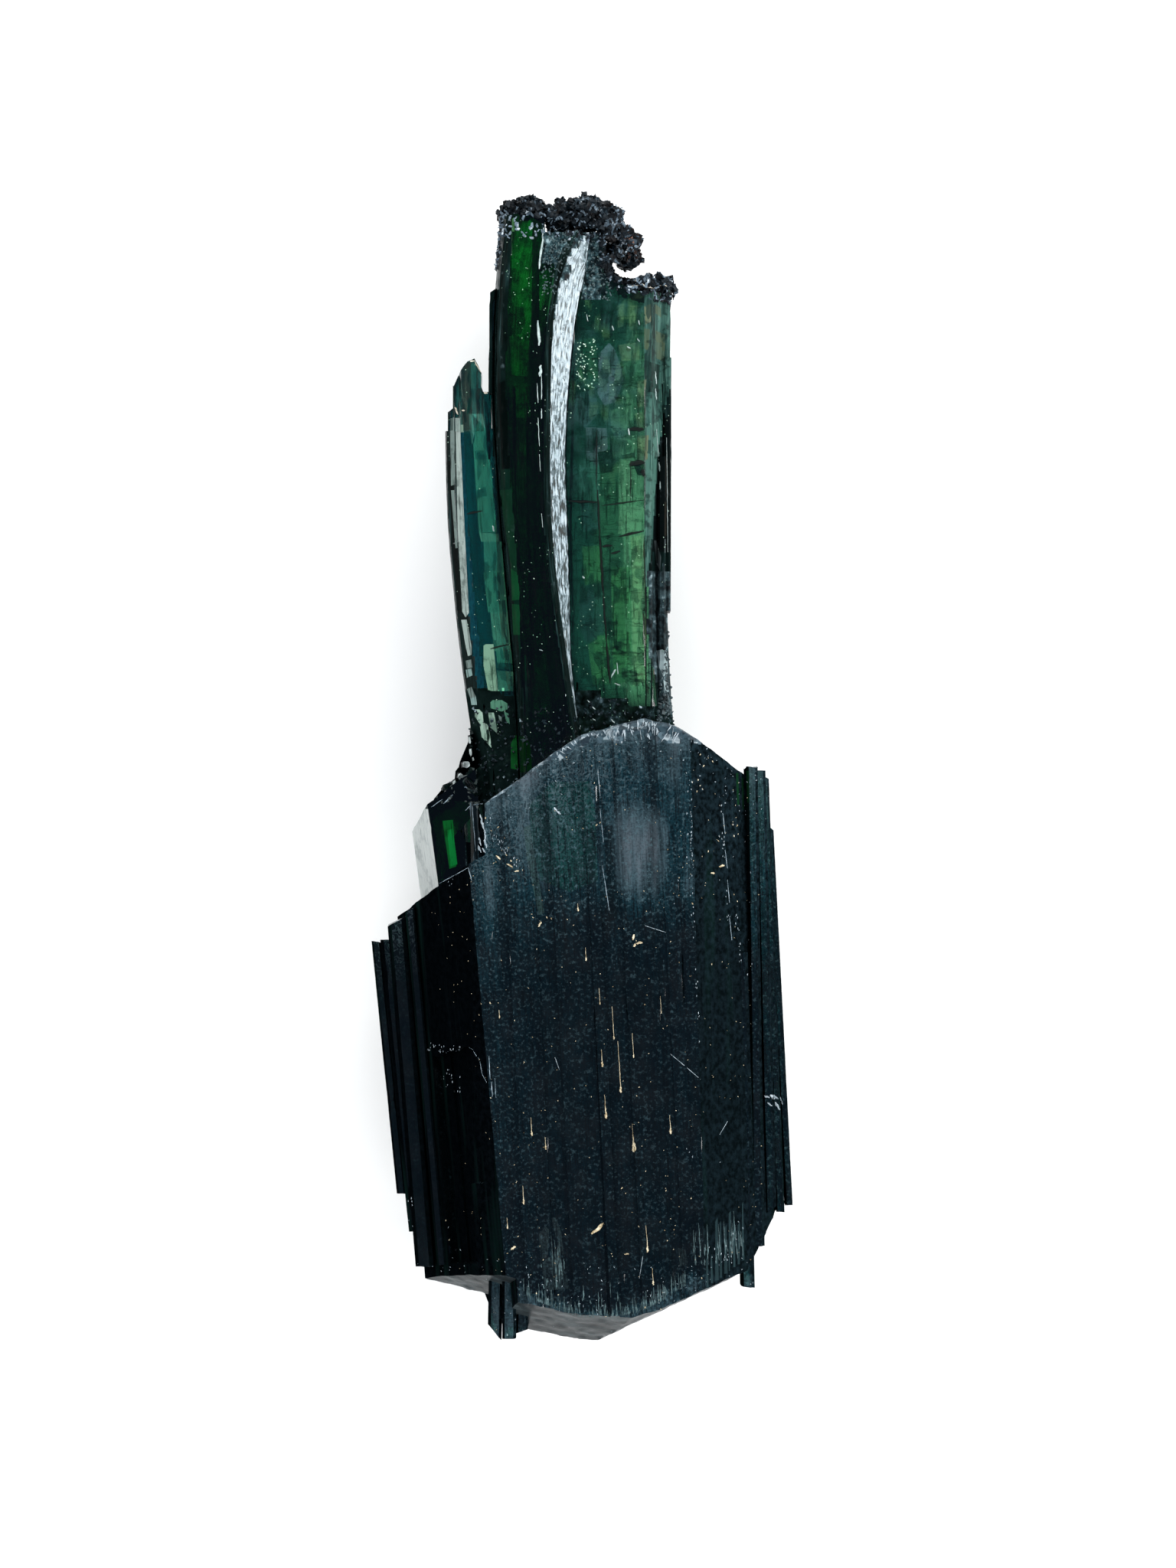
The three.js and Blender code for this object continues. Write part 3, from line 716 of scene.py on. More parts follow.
def broadTone(share, points):
    crown = 1 - 0.65 * fade(points[:, 1], 85.5, 90)
    edge = 1 - 0.5 * fade(share, 0.1, 0.0)
    foot = fade(points[:, 1], 55.2, 57.8)
    return edge * crown * (0.1 + 0.9 * foot)


def shoulderTone(share, points):
    x, y = points.T[:2]
    return 0.1 + 0.3 * spot(x, -11.9, -10.9, 0.25) * spot(y, 41.5, 45.5, 0.8)


acrossSpear = betweenEdges(spearLeft, darkLeft)
acrossDark = betweenEdges(darkLeft, darkRight)
acrossBroad = betweenEdges(stepRight, broadRight)
carve(lowerCrystal, lowerLook, leaning, lowerHeight, lowerSlots, lowerTone, lowerWear)
spearFront = frontTo(
    acrossSpear, [0, 0.03, 0.27, 0.33, 0.42, 0.75, 1], [9.4, 10.6, 12.0, 12.9, 13.05, 13.15, 13.1],
    lambda share: np.interp(share, [0, 0.03, 0.17, 0.42, 0.7, 1], [9.3, 10.2, 11.1, 12.5, 12.0, 11.6]))
darkFront = frontTo(
    acrossDark, [0, 0.04, 0.1, 0.28, 0.7, 0.93, 1], [11.6, 13.6, 14.2, 14.4, 14.35, 14.2, 13.8],
    lambda share: np.interp(share, [0, 0.07, 0.28, 0.97, 1], [11.5, 12.9, 14.0, 13.6, 13.7]))
broadFront = frontTo(
    acrossBroad, [0, 0.5, 0.7, 0.74, 0.765, 0.81], [12.22, 12.15, 12.05, 11.95, 12.05, 12.05],
    lambda share: np.where(share < 0.805, 10.9, 99.0))


def broadWear(points):
    # the ridge down its back is rubbed away, because it would show through as a dark line
    points = broadFront(points)
    x, z = points[:, 0], points[:, 2]
    points[:, 2] = np.where((z < 5.5) & (x > 3.2) & (x < 5.9), 5.52, z)
    return points


carve(spearCrystal, bladeLook, acrossSpear, bladeHeight(40, acrossSpear), spearSlots, spearTone, spearFront)
carve(darkBlade, bladeLook, acrossDark, bladeHeight(60, acrossDark), darkSlots, darkTone, darkFront)
carve(broadBlade, bladeLook, acrossBroad, bladeHeight(80, acrossBroad), broadSlots, broadTone, broadWear)
carve(shoulderCrystal, shoulderLook, leaning, bladeHeight(100, leaning), shoulderSlots, shoulderTone)
print("growth lines, steps and wear are in the meshes")


# Crystal domains on the fronts of the blades, with some painted reflections and light among them: a tint, and the
# corners of the patch in mm

domainTints = {
    # on the spear
    "smoky": "#677c6e", "smokyDeep": "#4b6058", "smokyGreen": "#5c8672", "smokyLight": "#8fa38e",
    "paleMint": "#9fe8cb",
    "mint": "#60c298", "mintDark": "#34806a", "mintLight": "#80d8ac", "mintDeep": "#56b090", "seaGreen": "#3a8570",
    # on the dark blade and the shoulder
    "bright": "#9af59c", "leaf": "#5ccf78", "leafDull": "#3a8a58", "leafDim": "#256446", "deepMoss": "#1a4a3a",
    "lozenge": "#277f4e", "greenGlow": "#124e22",
    # on the broad blade
    "tealGreen": "#568f82", "deepTeal": "#3a5c5e", "leafBright": "#559a5d", "mossDark": "#417a5a",
    "moss": "#76ac8a",
    "lightGreen": "#86b890", "paleGreen": "#a6d096", "greyGreen": "#86c8b4", "olive": "#8a9c76",
    "oliveLight": "#bcc494", "veil": "#909ab2", "veilTeal": "#5f7c86", "veilGrey": "#828c9c", "slate": "#1c2426",
    "shade": "#0a1514", "shadeBlue": "#1c2c30", "chipWhite": "#8fa0a2", "brownEdge": "#4a463c",
    # on the lower crystal
    "paintedTealSheen": "#2c7468", "paleStreak": "#5f837c", "rubbed": "#5d7577", "rubbedDark": "#1f2e31",
    "paintedGreenGlint": "#0c2c18",
    # on the pale flakes, painted reflections
    "flakeGrey": "#8f9896", "flakeBlue": "#748a8a", "flakeDim": "#626f6d", "flakeGreen": "#708f7c",
    "flakeLight": "#8ea598", "flakeMint": "#4f7c68", "window": "#0d7c38", "windowDim": "#0a5a26",
}
domainPatches = {
    "block": [
        # a painted reflection: the teal zone of soft sheen on the front face
        ("paintedTealSheen", [
            (-4.5, 47), (-2.6, 48.9), (0.7, 49), (1.2, 46.4), (1.4, 40.4), (-1, 39.4), (-3.5, 40.4),
            (-4.3, 43),
        ]),
        ("paleStreak", [(-5, 45), (-4.5, 45.2), (-3.9, 41.7), (-4.2, 40.4), (-4.7, 42.1)]),
        ("paleStreak", [(-4.6, 41.7), (-3.9, 41.7), (-3.2, 37.6), (-3.7, 37.4)]),
        ("shade", [(1.9, 45), (2.7, 45.2), (3.1, 37.1), (2.4, 36.8)]),
        ("rubbed", [(-3.7, 9.8), (-3.1, 10.5), (-2.8, 10.2), (-2.9, 8), (-3.5, 7.4)]),
        ("rubbed", [(-2.6, 11.2), (-2.2, 11.3), (-1.7, 9.8), (-1.5, 8), (-1.9, 8.2)]),
        ("rubbed", [(-3.5, 7.3), (-2.9, 7.8), (-1.6, 7.3), (-1, 5.1), (-3.1, 4.9)]),
        ("rubbed", [(8.4, 8.6), (9, 8.5), (9.2, 7.2), (8.5, 7)]),
        ("rubbedDark", [(9.6, 4.5), (9.8, 4.5), (9.8, 7.2), (9.6, 7)]),
        ("rubbedDark", [(10, 4.7), (10.2, 4.7), (10.2, 7.2), (10, 6.9)]),
        ("rubbedDark", [(10.4, 5), (10.7, 5), (10.6, 10.3), (10.4, 10)]),
        ("rubbedDark", [(10.8, 5.2), (11, 5.2), (10.9, 7.9), (10.8, 7.6)]),
        ("rubbedDark", [(11.2, 5.5), (11.4, 5.5), (11.3, 8), (11.2, 7.7)]),
        ("rubbedDark", [(11.6, 5.7), (11.9, 5.7), (11.8, 11.1), (11.6, 10.8)]),
        ("rubbedDark", [(12, 5.9), (12.2, 5.9), (12.1, 10.8), (12, 10.6)]),
        ("rubbedDark", [(12.4, 6.2), (12.7, 6.2), (12.6, 10.4), (12.4, 10.2)]),
        ("rubbedDark", [(12.8, 6.4), (12.9, 6.4), (13, 11.6), (12.8, 11.4)]),
        ("rubbedDark", [(13.2, 6.7), (13.4, 6.7), (13.3, 11.1), (13.2, 10.8)]),
        ("rubbedDark", [(13.6, 6.9), (13.8, 6.9), (13.8, 10.6), (13.6, 10.3)]),
        ("rubbedDark", [(14, 7.2), (14.2, 7.2), (14.1, 12.3), (14, 12.1)]),
        # painted glints: green light leaking through the thin columns at the right
        ("paintedGreenGlint", [(13.5, 49.7), (13.7, 49.7), (13.8, 46.9), (13.6, 46.9)]),
        ("paintedGreenGlint", [(14, 49.3), (14.2, 49.3), (14.2, 46.5), (14.1, 46.5)]),
        ("paintedGreenGlint", [(14.4, 49.9), (14.7, 49.9), (14.7, 47.1), (14.5, 47.1)]),
    ],
    "shoulder": [
        ("leafDim", [(-10, 45.3), (-9.5, 46.2), (-9.3, 42.9), (-9.8, 41.7)]),
    ],
    "spear": [
        ("smokyDeep", [(-11.4, 79.6), (-11.4, 85.9), (-10.4, 86.2), (-10.3, 83.9), (-10.7, 79.6)]),
        ("smoky", [(-10.7, 79.6), (-10.3, 86.2), (-8.6, 86.2), (-8.4, 79.6)]),
        ("smokyGreen", [(-10, 85.1), (-9.6, 85.7), (-9.2, 85.1), (-9.1, 83.6), (-9.6, 83.1), (-9.9, 83.6)]),
        ("smokyLight", [(-10.6, 83.9), (-10.2, 84.1), (-9.9, 81.2), (-10.4, 81.8)]),
        ("smokyDeep", [(-9.6, 83.1), (-8.8, 84.6), (-8.8, 83.5), (-8.4, 81.9), (-9.1, 81.6)]),
        ("seaGreen", [(-9.9, 82.6), (-9.6, 82.6), (-9.8, 81.4), (-10.1, 81.1)]),
        ("paleMint", [(-9.9, 81.2), (-9.6, 81.2), (-9.4, 79.5), (-9.6, 78.5), (-9.8, 79.9)]),
        ("paleMint", [(-9.6, 81.2), (-8.7, 81.2), (-8.4, 79.7), (-9.2, 80.7)]),
        ("mintDeep", [(-9.4, 79.9), (-9, 80.6), (-8.4, 79.8), (-8.3, 77.2), (-9.2, 77.2)]),
        ("mint", [(-9.5, 78.5), (-9.2, 79.9), (-8, 77.2), (-7.4, 70.8), (-9, 70.8), (-9.3, 75.2)]),
        ("mintDark", [(-9.4, 78), (-8.4, 78), (-8.3, 77.2), (-9.3, 77.2)]),
        ("mintDark", [(-9.2, 74.5), (-8.4, 74.8), (-8.3, 74), (-9.2, 73.8)]),
        ("mintLight", [(-9, 70.8), (-7.3, 70.7), (-7.2, 70), (-8.8, 70)]),
        ("mintDeep", [(-8.6, 70), (-7, 70), (-6.8, 67.5), (-8.5, 67.3)]),
        ("mint", [(-8.6, 67.3), (-6.8, 67.5), (-6.5, 63.8), (-8.2, 63.8)]),
        ("mintDeep", [(-7.7, 67), (-6.9, 67.1), (-6.7, 65.4), (-7.5, 65.3)]),
        ("mintLight", [(-8, 63.8), (-6.5, 63.8), (-6.2, 60.4), (-7.7, 60.4)]),
        ("mint", [(-7.5, 60.4), (-6.1, 60.4), (-6, 59.3), (-7.4, 59.4)]),
        ("mintDark", [(-7.4, 59.4), (-6, 59.2), (-6, 58.7), (-7.4, 58.9)]),
        ("mintLight", [(-7.4, 58.7), (-6, 58.6), (-6, 56.9), (-7.3, 56.9)]),
        ("shade", [(-8.6, 83.2), (-8, 83.2), (-8, 77.2), (-8.2, 77.2), (-8.5, 80.9)]),
        ("shade", [(-10.7, 56.9), (-4.7, 56.9), (-4.7, 47.3), (-9.9, 47.3)]),
        ("greenGlow", [(-6.2, 52.2), (-5.9, 53), (-4, 53), (-4, 49.7), (-6.2, 50.1)]),
        ("shade", [(-11.8, 77.2), (-11.2, 77.2), (-10.7, 66.5), (-10.5, 63.8), (-10.9, 63.8), (-11.4, 70.5)]),
    ],
    "dark": [
        ("bright", [(-6.1, 98.2), (-5.3, 98.6), (-4.1, 97.8), (-4.1, 93.2), (-4.5, 87.9), (-6.1, 87.9)]),
        ("leaf", [(-6.3, 87.9), (-4.5, 87.9), (-4.7, 84.4), (-6.1, 84.5)]),
        ("leafDull", [(-6.1, 83.8), (-4.7, 83.8), (-4.4, 80.8), (-6, 80.8)]),
        ("bright", [(-3.7, 93.5), (-3, 93.8), (-3.1, 91.4), (-3.4, 90.2), (-3.7, 90.2)]),
        ("leafDull", [(-3, 93.8), (-2.3, 94), (-2.6, 91.4), (-3, 89.6), (-3.2, 90.2)]),
        ("leafDim", [(-3.7, 90.1), (-3.2, 90.1), (-3.1, 88.5), (-3.7, 88.4)]),
        ("leafDim", [(-7.2, 74.5), (-4.7, 74.5), (-4, 66.4), (-5.9, 65.8)]),
        ("deepMoss", [(-6.1, 65.8), (-3.7, 66.4), (-2.9, 58.4), (-5.1, 57.7)]),
        ("deepMoss", [(-7, 83.8), (-5.9, 83.8), (-5.6, 74.5), (-7.1, 74.5)]),
        ("leafDim", [(-4.7, 59.7), (-3.2, 59.7), (-2.5, 55), (-4, 54.7)]),
        ("lozenge", [(-6.2, 67.6), (-5.9, 67.4), (-5.3, 67), (-5.2, 64.9), (-6.1, 64.8)]),
        ("lozenge", [(-6.1, 64.5), (-5.2, 64.4), (-5.1, 61.8), (-6, 61.8)]),
        ("greenGlow", [
            (-6.2, 52.2), (-5.9, 53), (-4.8, 52.8), (-4.2, 51.4), (-4, 50.4), (-4.8, 49.8), (-6.1, 49.7),
        ]),
        ("leafDull", [(-6.2, 90.5), (-5.1, 90.5), (-4.9, 89.3), (-5.3, 88.1), (-6.1, 88.1)]),
        ("shade", [(-7.3, 83.8), (-6.4, 84.2), (-5.9, 79.8), (-5.9, 76.3), (-7, 76.3)]),
        ("shade", [(-4.3, 97.9), (-3.8, 97.9), (-3.8, 87.9), (-4.4, 87.9)]),
    ],
    "broad": [
        ("tealGreen", [(-0.18, 77.3), (1.6, 77.3), (1.6, 73.6), (-0.18, 73.6)]),
        ("deepTeal", [(-0.18, 73.4), (1.6, 73.4), (1.6, 71.1), (0.16, 70.9)]),
        ("leafBright", [(0.02, 69.6), (1.6, 69.7), (1.8, 66.5), (0.29, 66.2)]),
        ("deepTeal", [(-0.24, 66.1), (1.8, 66.4), (2, 62.1), (0.43, 61.1), (-0.18, 62.5)]),
        ("leafBright", [(0.56, 61), (2, 61.8), (2.5, 57.6), (1, 57.4)]),
        ("shade", [(0.36, 70.9), (1.6, 71.2), (1.6, 69.8), (0.29, 69.9)]),
        ("shadeBlue", [(1.8, 67.8), (2.5, 67.8), (2.7, 62.2), (2.2, 62.2)]),
        ("mossDark", [(1.6, 77.3), (3.2, 77), (3.2, 73.5), (1.6, 73.5)]),
        ("mossDark", [(1.6, 73.2), (3.1, 73.2), (3.2, 70.7), (1.7, 70.5)]),
        ("lightGreen", [(3.3, 77.3), (4.4, 77.1), (4.4, 73.5), (3.3, 73.5)]),
        ("lightGreen", [(3.4, 73.2), (5.5, 73.2), (5.5, 70.9), (3.2, 70.7)]),
        ("paleGreen", [(4.3, 70.4), (5.5, 70.7), (5.7, 61.1), (5.1, 60.5), (4.5, 65.2)]),
        ("lightGreen", [(2.7, 61.8), (5.1, 60.3), (4.5, 59), (5.7, 56.8), (2.7, 57.5)]),
        ("paleGreen", [(4.4, 66.3), (5.6, 66.3), (5.6, 57.8), (4.5, 57.3)]),
        ("leafBright", [(2.6, 67.8), (4.3, 67.8), (4.4, 57.8), (2.8, 57.5)]),
        ("shade", [(1.6, 78.1), (2.6, 78.1), (2.6, 76.1), (1.6, 76.1)]),
        ("shade", [(3.5, 78.2), (4.7, 78.2), (4.7, 77.4), (3.5, 77.3)]),
        ("shade", [(4.5, 76.9), (5, 77.1), (5.5, 76.8), (5.5, 75.8), (4.9, 75.9)]),
        ("leafBright", [(1.4, 61.8), (2.5, 61.8), (2.6, 57.5), (1.4, 57.5)]),
        ("greyGreen", [(5.5, 80), (7.3, 81), (6.5, 74.6), (6.2, 69.2), (5.5, 69.2)]),
        ("shade", [(5.4, 86), (6.9, 85.7), (6.8, 83.2), (5.7, 83.2)]),
        ("olive", [(3.1, 90.7), (3.7, 91), (3.7, 89), (3.2, 88.8)]),
        ("olive", [(4.2, 90.8), (5, 90.8), (4.9, 88.7), (4.2, 88.6)]),
        ("olive", [(3.2, 87.3), (5.1, 87.6), (5.1, 86), (3.5, 85.9)]),
        ("oliveLight", [(4.9, 84.1), (5.7, 84.3), (5.5, 82), (4.9, 81.8)]),
        ("olive", [(4.7, 81.3), (5.5, 81.4), (5.4, 80), (4.9, 80)]),
        ("oliveLight", [(4.9, 79.3), (5.9, 79.4), (5.8, 77.3), (4.9, 77)]),
        ("oliveLight", [(5.5, 90.7), (6.2, 91), (6.1, 89.4), (5.6, 89.1)]),
        ("olive", [(6.5, 91), (7, 90.7), (7, 89.9), (6.5, 90.2)]),
        ("olive", [(5.5, 88.8), (6, 88.7), (5.9, 86.8), (5.5, 87)]),
        ("olive", [(6.5, 88.7), (7.4, 88.4), (7.3, 86), (6.5, 86.3)]),
        ("shade", [(6.1, 91), (6.5, 91), (6.5, 86), (6.1, 86)]),
        ("shade", [(1.6, 90.5), (2.6, 90.8), (2.7, 88), (2, 87.6)]),
        ("moss", [(2.4, 81.6), (4.4, 82), (4.6, 80), (2.7, 79.6)]),
        ("moss", [(2.6, 79.3), (4.7, 79.4), (4.6, 77.9), (2.7, 77.4)]),
        ("moss", [(3.7, 84), (4.6, 83.6), (4.5, 82.1), (3.5, 82.2)]),
        ("veil", [(1.5, 86.5), (2.4, 87.5), (2.9, 87), (3.5, 85.3), (3.7, 84.2), (3, 82.3), (2, 82), (1.4, 83)]),
        ("veilTeal", [(-0.51, 83), (1.2, 83.5), (1.5, 81.3), (0.36, 80), (-0.78, 81)]),
        ("veilGrey", [(0.36, 80.1), (2.2, 80), (2.3, 78.3), (1.4, 76.7), (0.43, 77.4)]),
        ("shade", [(1.4, 77.9), (2.6, 78.1), (2.7, 76.5), (1.6, 76.2)]),
        ("mossDark", [(-0.51, 87.7), (1.2, 88), (1.5, 84), (0.56, 83.5), (-0.51, 83.7)]),
        ("slate", [(7.3, 81), (8.1, 81.3), (8.1, 74.6), (6.5, 74.6)]),
        ("slate", [(6.5, 74.6), (8.1, 74.6), (7.8, 69.2), (6.2, 69.2)]),
        ("chipWhite", [(6.6, 60.5), (7.1, 60.6), (7.6, 60.3), (7.6, 58.5), (7.2, 58.2), (6.8, 59.1)]),
        ("chipWhite", [(7.2, 57.9), (7.6, 57.7), (7.7, 56.8), (7.3, 57.1)]),
        ("chipWhite", [(6.4, 70.2), (6.6, 70.2), (7, 68.7), (6.9, 67.5), (6.6, 68.2)]),
        ("chipWhite", [(7.3, 70.3), (7.4, 70.3), (7.4, 69.1), (7.3, 69.1)]),
        ("brownEdge", [(7.4, 77.5), (7.6, 77.5), (7.7, 74), (7.4, 74)]),
        ("brownEdge", [(7.3, 73.6), (7.6, 73.6), (7.5, 70.6), (7.3, 70.6)]),
        ("brownEdge", [(6.2, 58.8), (6.4, 58.9), (6.6, 56.3), (6.3, 56.3)]),
    ],
}
reflectingFlakes = [
    ("flakeDim", [(-11.6, 81), (-11.2, 81), (-11.1, 75.1), (-11.5, 75)]),
    ("flakeGrey", [(-11.1, 80.9), (-10.7, 80.9), (-10.3, 71.9), (-10.9, 71.2)]),
    ("flakeGrey", [(-10.9, 71.2), (-10.3, 71.9), (-9.9, 63.8), (-10.2, 63.4), (-10.5, 63.9)]),
    ("flakeDim", [(-11.5, 74.6), (-11.2, 74.6), (-10.9, 69.5), (-11.1, 69.5)]),
    ("flakeGrey", [(-10.6, 63.2), (-10.1, 63.2), (-9.7, 60.9), (-9.7, 60.1), (-10, 60), (-10.2, 60.8)]),
    ("flakeDim", [(-10.2, 59.6), (-9.7, 59.7), (-9.6, 59), (-10.1, 58.9)]),
    ("flakeBlue", [(-10.2, 58.8), (-9.7, 58.9), (-9.6, 58.3), (-10.1, 58.1)]),
    ("flakeDim", [(-10.1, 57.1), (-9.7, 57.3), (-9.3, 56.4), (-9.8, 56.3)]),
    ("flakeBlue", [(-9.8, 56.3), (-9.3, 56.4), (-9.2, 55.7), (-9.7, 55.7)]),
    ("flakeGreen", [
        (-8.9, 60.7), (-8.4, 61), (-7.7, 61), (-7.6, 60.1), (-7.4, 57.7), (-7.3, 56.7), (-7.9, 56.9),
        (-8.6, 56.9), (-8.6, 59.1),
    ]),
    ("flakeMint", [(-8, 55.9), (-7.8, 56.1), (-7, 56.1), (-6.5, 55.8), (-6.5, 55.3), (-7, 55.1), (-8, 55.4)]),
    ("flakeLight", [(-9.4, 55.3), (-9, 55.3), (-8.7, 55), (-8.6, 54.2), (-9, 54.1), (-9.4, 54.7)]),
    ("flakeLight", [(-8.2, 55), (-7.7, 55), (-7.4, 53.6), (-7.3, 53.1), (-8, 53.7)]),
    ("flakeLight", [(-9, 54.1), (-8.8, 54.2), (-8.3, 54), (-8.1, 53.6), (-7.9, 51.9), (-8.8, 52.9)]),
    ("flakeMint", [(-6.8, 55.1), (-6.4, 54.9), (-6.3, 54), (-6.6, 54.2)]),
    ("flakeDim", [(-7.3, 54.8), (-7, 54.6), (-7, 54.2), (-7.2, 54.3)]),
]
# green light shining through the thin rear prism, painted on an opaque face: painted light
greenWindowPaintedLight = [
    ("windowDim", [(-12.2, 45.5), (-11.3, 45.6), (-11, 41.5), (-11.6, 41.3)]),
    ("window", [(-11.8, 44.7), (-11.3, 44.8), (-10.9, 41.7), (-11.5, 41.5)]),
]


# The little angular crystals in the corner between the spear and the shoulder, on a dark bed
druseBed = [
    (-9.75, 53.05), (-10.02, 52.38), (-10.02, 51.17), (-10.7, 50.76), (-10.83, 50.22), (-11.1, 49.89),
    (-11.17, 49.08), (-12.18, 48.67), (-12.31, 48.27), (-12.92, 47.53), (-8.07, 47.26), (-8.07, 53.05),
]
druseCrystals = [
    [(-10, 52.98), (-9.8, 53.05), (-9.7, 52.51), (-9.73, 52.17), (-9.93, 52.24)],
    [(-9.93, 51.9), (-9.66, 51.97), (-9.6, 51.3), (-9.73, 51.03), (-9.9, 51.36)],
    [(-9.66, 51.09), (-9.5, 51.16), (-9.4, 50.83), (-9.6, 50.69)],
    [(-10.61, 50.62), (-10.4, 50.79), (-9.9, 50.83), (-9.73, 50.62), (-9.7, 50.29), (-10.03, 50.02), (-10.54, 50.15)],
    [(-10.91, 49.72), (-10.61, 49.82), (-10.1, 49.35), (-10.17, 49.14), (-10.81, 49.01), (-11.01, 49.28)],
    [(-12.12, 48.54), (-11.82, 48.61), (-11.58, 48.71), (-11.62, 48.4), (-11.95, 48.17), (-12.15, 48.3)],
    [(-10.54, 48.74), (-10.1, 48.81), (-10.2, 48.47), (-10.47, 48.47)],
    [(-11.41, 48.94), (-11.08, 49.14), (-11.01, 48.81), (-11.35, 48.61)],
]


def boxOf(face):
    # the face's box seen from above: its lowest x and y, then its highest
    places = [vertex.co for vertex in face.verts]
    return [end(p[k] for p in places) for end in (min, max) for k in (0, 1)]


def paintDomains(piece, patches, flakes=(), flakeSlot=2):
    # cuts each patch's outline into the front faces, so that its edge is crisp, and stores its tint on them
    build = bmesh.new()
    build.from_mesh(piece.data)
    layer = build.loops.layers.float_color.new("domain")
    for face in build.faces:
        for loop in face.loops:
            loop[layer] = (0, 0, 0, 0)
    rng = random.Random(3)
    # only the front faces whose box touches a patch's are looked at
    fronts = [f for f in build.faces if f.normal.z > 0.2]
    boxes = np.array([boxOf(f) for f in fronts])
    for number, (tint, outline) in enumerate(list(patches) + list(flakes)):
        corners = [at(x, y, 0) for x, y in outline]
        middle = sum(corners, Vector()) / len(corners)
        low = [min(c[k] for c in corners) for k in (0, 1)]
        high = [max(c[k] for c in corners) for k in (0, 1)]
        near = np.all((boxes[:, 2:] >= low) & (boxes[:, :2] <= high), axis=1)
        faces = [fronts[k] for k in np.nonzero(near)[0]]
        if not faces:
            continue
        known = set(faces)
        planes = []
        for a, b in zip(corners, corners[1:] + corners[:1]):
            normal = Vector((b.y - a.y, a.x - b.x, 0)).normalized()
            if normal.dot(middle - a) > 0:
                normal.negate()
            planes.append((a, normal))
            geometry = set(faces) | {e for f in faces for e in f.edges} | {v for f in faces for v in f.verts}
            cut = bmesh.ops.bisect_plane(build, geom=list(geometry), dist=4e-6, plane_co=a, plane_no=normal)
            faces = [g for g in cut["geom"] if isinstance(g, bmesh.types.BMFace)]
        fresh = [f for f in faces if f not in known]
        if fresh:
            fronts += fresh
            boxes = np.vstack([boxes, [boxOf(f) for f in fresh]])
        flake = number >= len(patches)
        colour = linear(domainTints[tint], 1.0 if flake else rng.uniform(0.8, 1.0))
        for face in faces:
            centre = face.calc_center_median()
            if all(normal.dot(Vector((centre.x, centre.y, 0)) - a) < 2e-6 for a, normal in planes):
                for loop in face.loops:
                    loop[layer] = colour
                if flake:
                    face.material_index = flakeSlot
    bmesh.ops.triangulate(build, faces=[f for f in build.faces if len(f.verts) > 3])
    build.to_mesh(piece.data)
    build.free()


paintDomains(spearCrystal, domainPatches["spear"], reflectingFlakes)
paintDomains(darkBlade, domainPatches["dark"])
paintDomains(broadBlade, domainPatches["broad"])
paintDomains(shoulderCrystal, domainPatches["shoulder"], greenWindowPaintedLight, 4)
paintDomains(lowerCrystal, domainPatches["block"])
print("the crystal domains are marked")


# Materials

def startMaterial(name, roughness, transmission=0.0, ior=1.6, level=0.5, absorb=None):
    material = bpy.data.materials.new(name)
    material.use_nodes = True
    tree = material.node_tree
    shader = tree.nodes["Principled BSDF"]
    shader.inputs["Roughness"].default_value = roughness
    shader.inputs["IOR"].default_value = ior
    shader.inputs["Transmission Weight"].default_value = transmission
    shader.inputs["Specular IOR Level"].default_value = level
    if absorb:
        # the light lost over a metre, red, green and blue, as one density and colour
        density = max(absorb) * 1.02
        colour = [1 - a / density for a in absorb] + [1]
        volume = addNode(tree, "ShaderNodeVolumeAbsorption", {"Color": colour, "Density": density})
        tree.links.new(volume.outputs[0], tree.nodes["Material Output"].inputs["Volume"])
    return material, tree


def growthOf(tree):
    return addNode(tree, "ShaderNodeAttribute", attribute_name="growth").outputs["Vector"]


def placeOf(tree):
    return addNode(tree, "ShaderNodeTexCoord").outputs["Object"]


def axesOf(tree, vector):
    return addNode(tree, "ShaderNodeSeparateXYZ", {0: vector}).outputs


def maths(tree, kind, first, second=0.0, third=0.0):
    return addNode(tree, "ShaderNodeMath", {0: first, 1: second, 2: third}, operation=kind).outputs[0]


def toneOf(tree, ripple=None, amount=0.0):
    # the painted-in tone, stirred by a pattern so that its edges are ragged
    tone = addNode(tree, "ShaderNodeAttribute", attribute_name="tone").outputs["Fac"]
    return maths(tree, "ADD", tone, maths(tree, "MULTIPLY_ADD", ripple, amount, -amount / 2)) if amount else tone


def drawnOut(tree, growth, width, length, offset):
    # pattern space in which one cell is width by length, in mm, along the growth lines
    return addNode(tree, "ShaderNodeMapping", {
        "Vector": growth, "Location": (0, offset, offset), "Scale": (0, 1 / length, 1 / width)}).outputs[0]


def streaks(tree, growth, width, length, detail=3.0, offset=0.0):
    # noise drawn out along the growth lines
    return addNode(tree, "ShaderNodeTexNoise", {
        "Vector": drawnOut(tree, growth, width, length, offset), "Scale": 1.0, "Detail": detail, "Roughness": 0.6,
    }).outputs["Fac"]


def blocks(tree, growth, width, length, offset=0.0):
    # brick-like domains of crystal, each a shade of its own
    cells = addNode(tree, "ShaderNodeTexVoronoi", {
        "Vector": drawnOut(tree, growth, width, length, offset), "Scale": 1.0}, distance="CHEBYCHEV")
    return addNode(tree, "ShaderNodeSeparateColor", {0: cells.outputs["Color"]}).outputs[0]


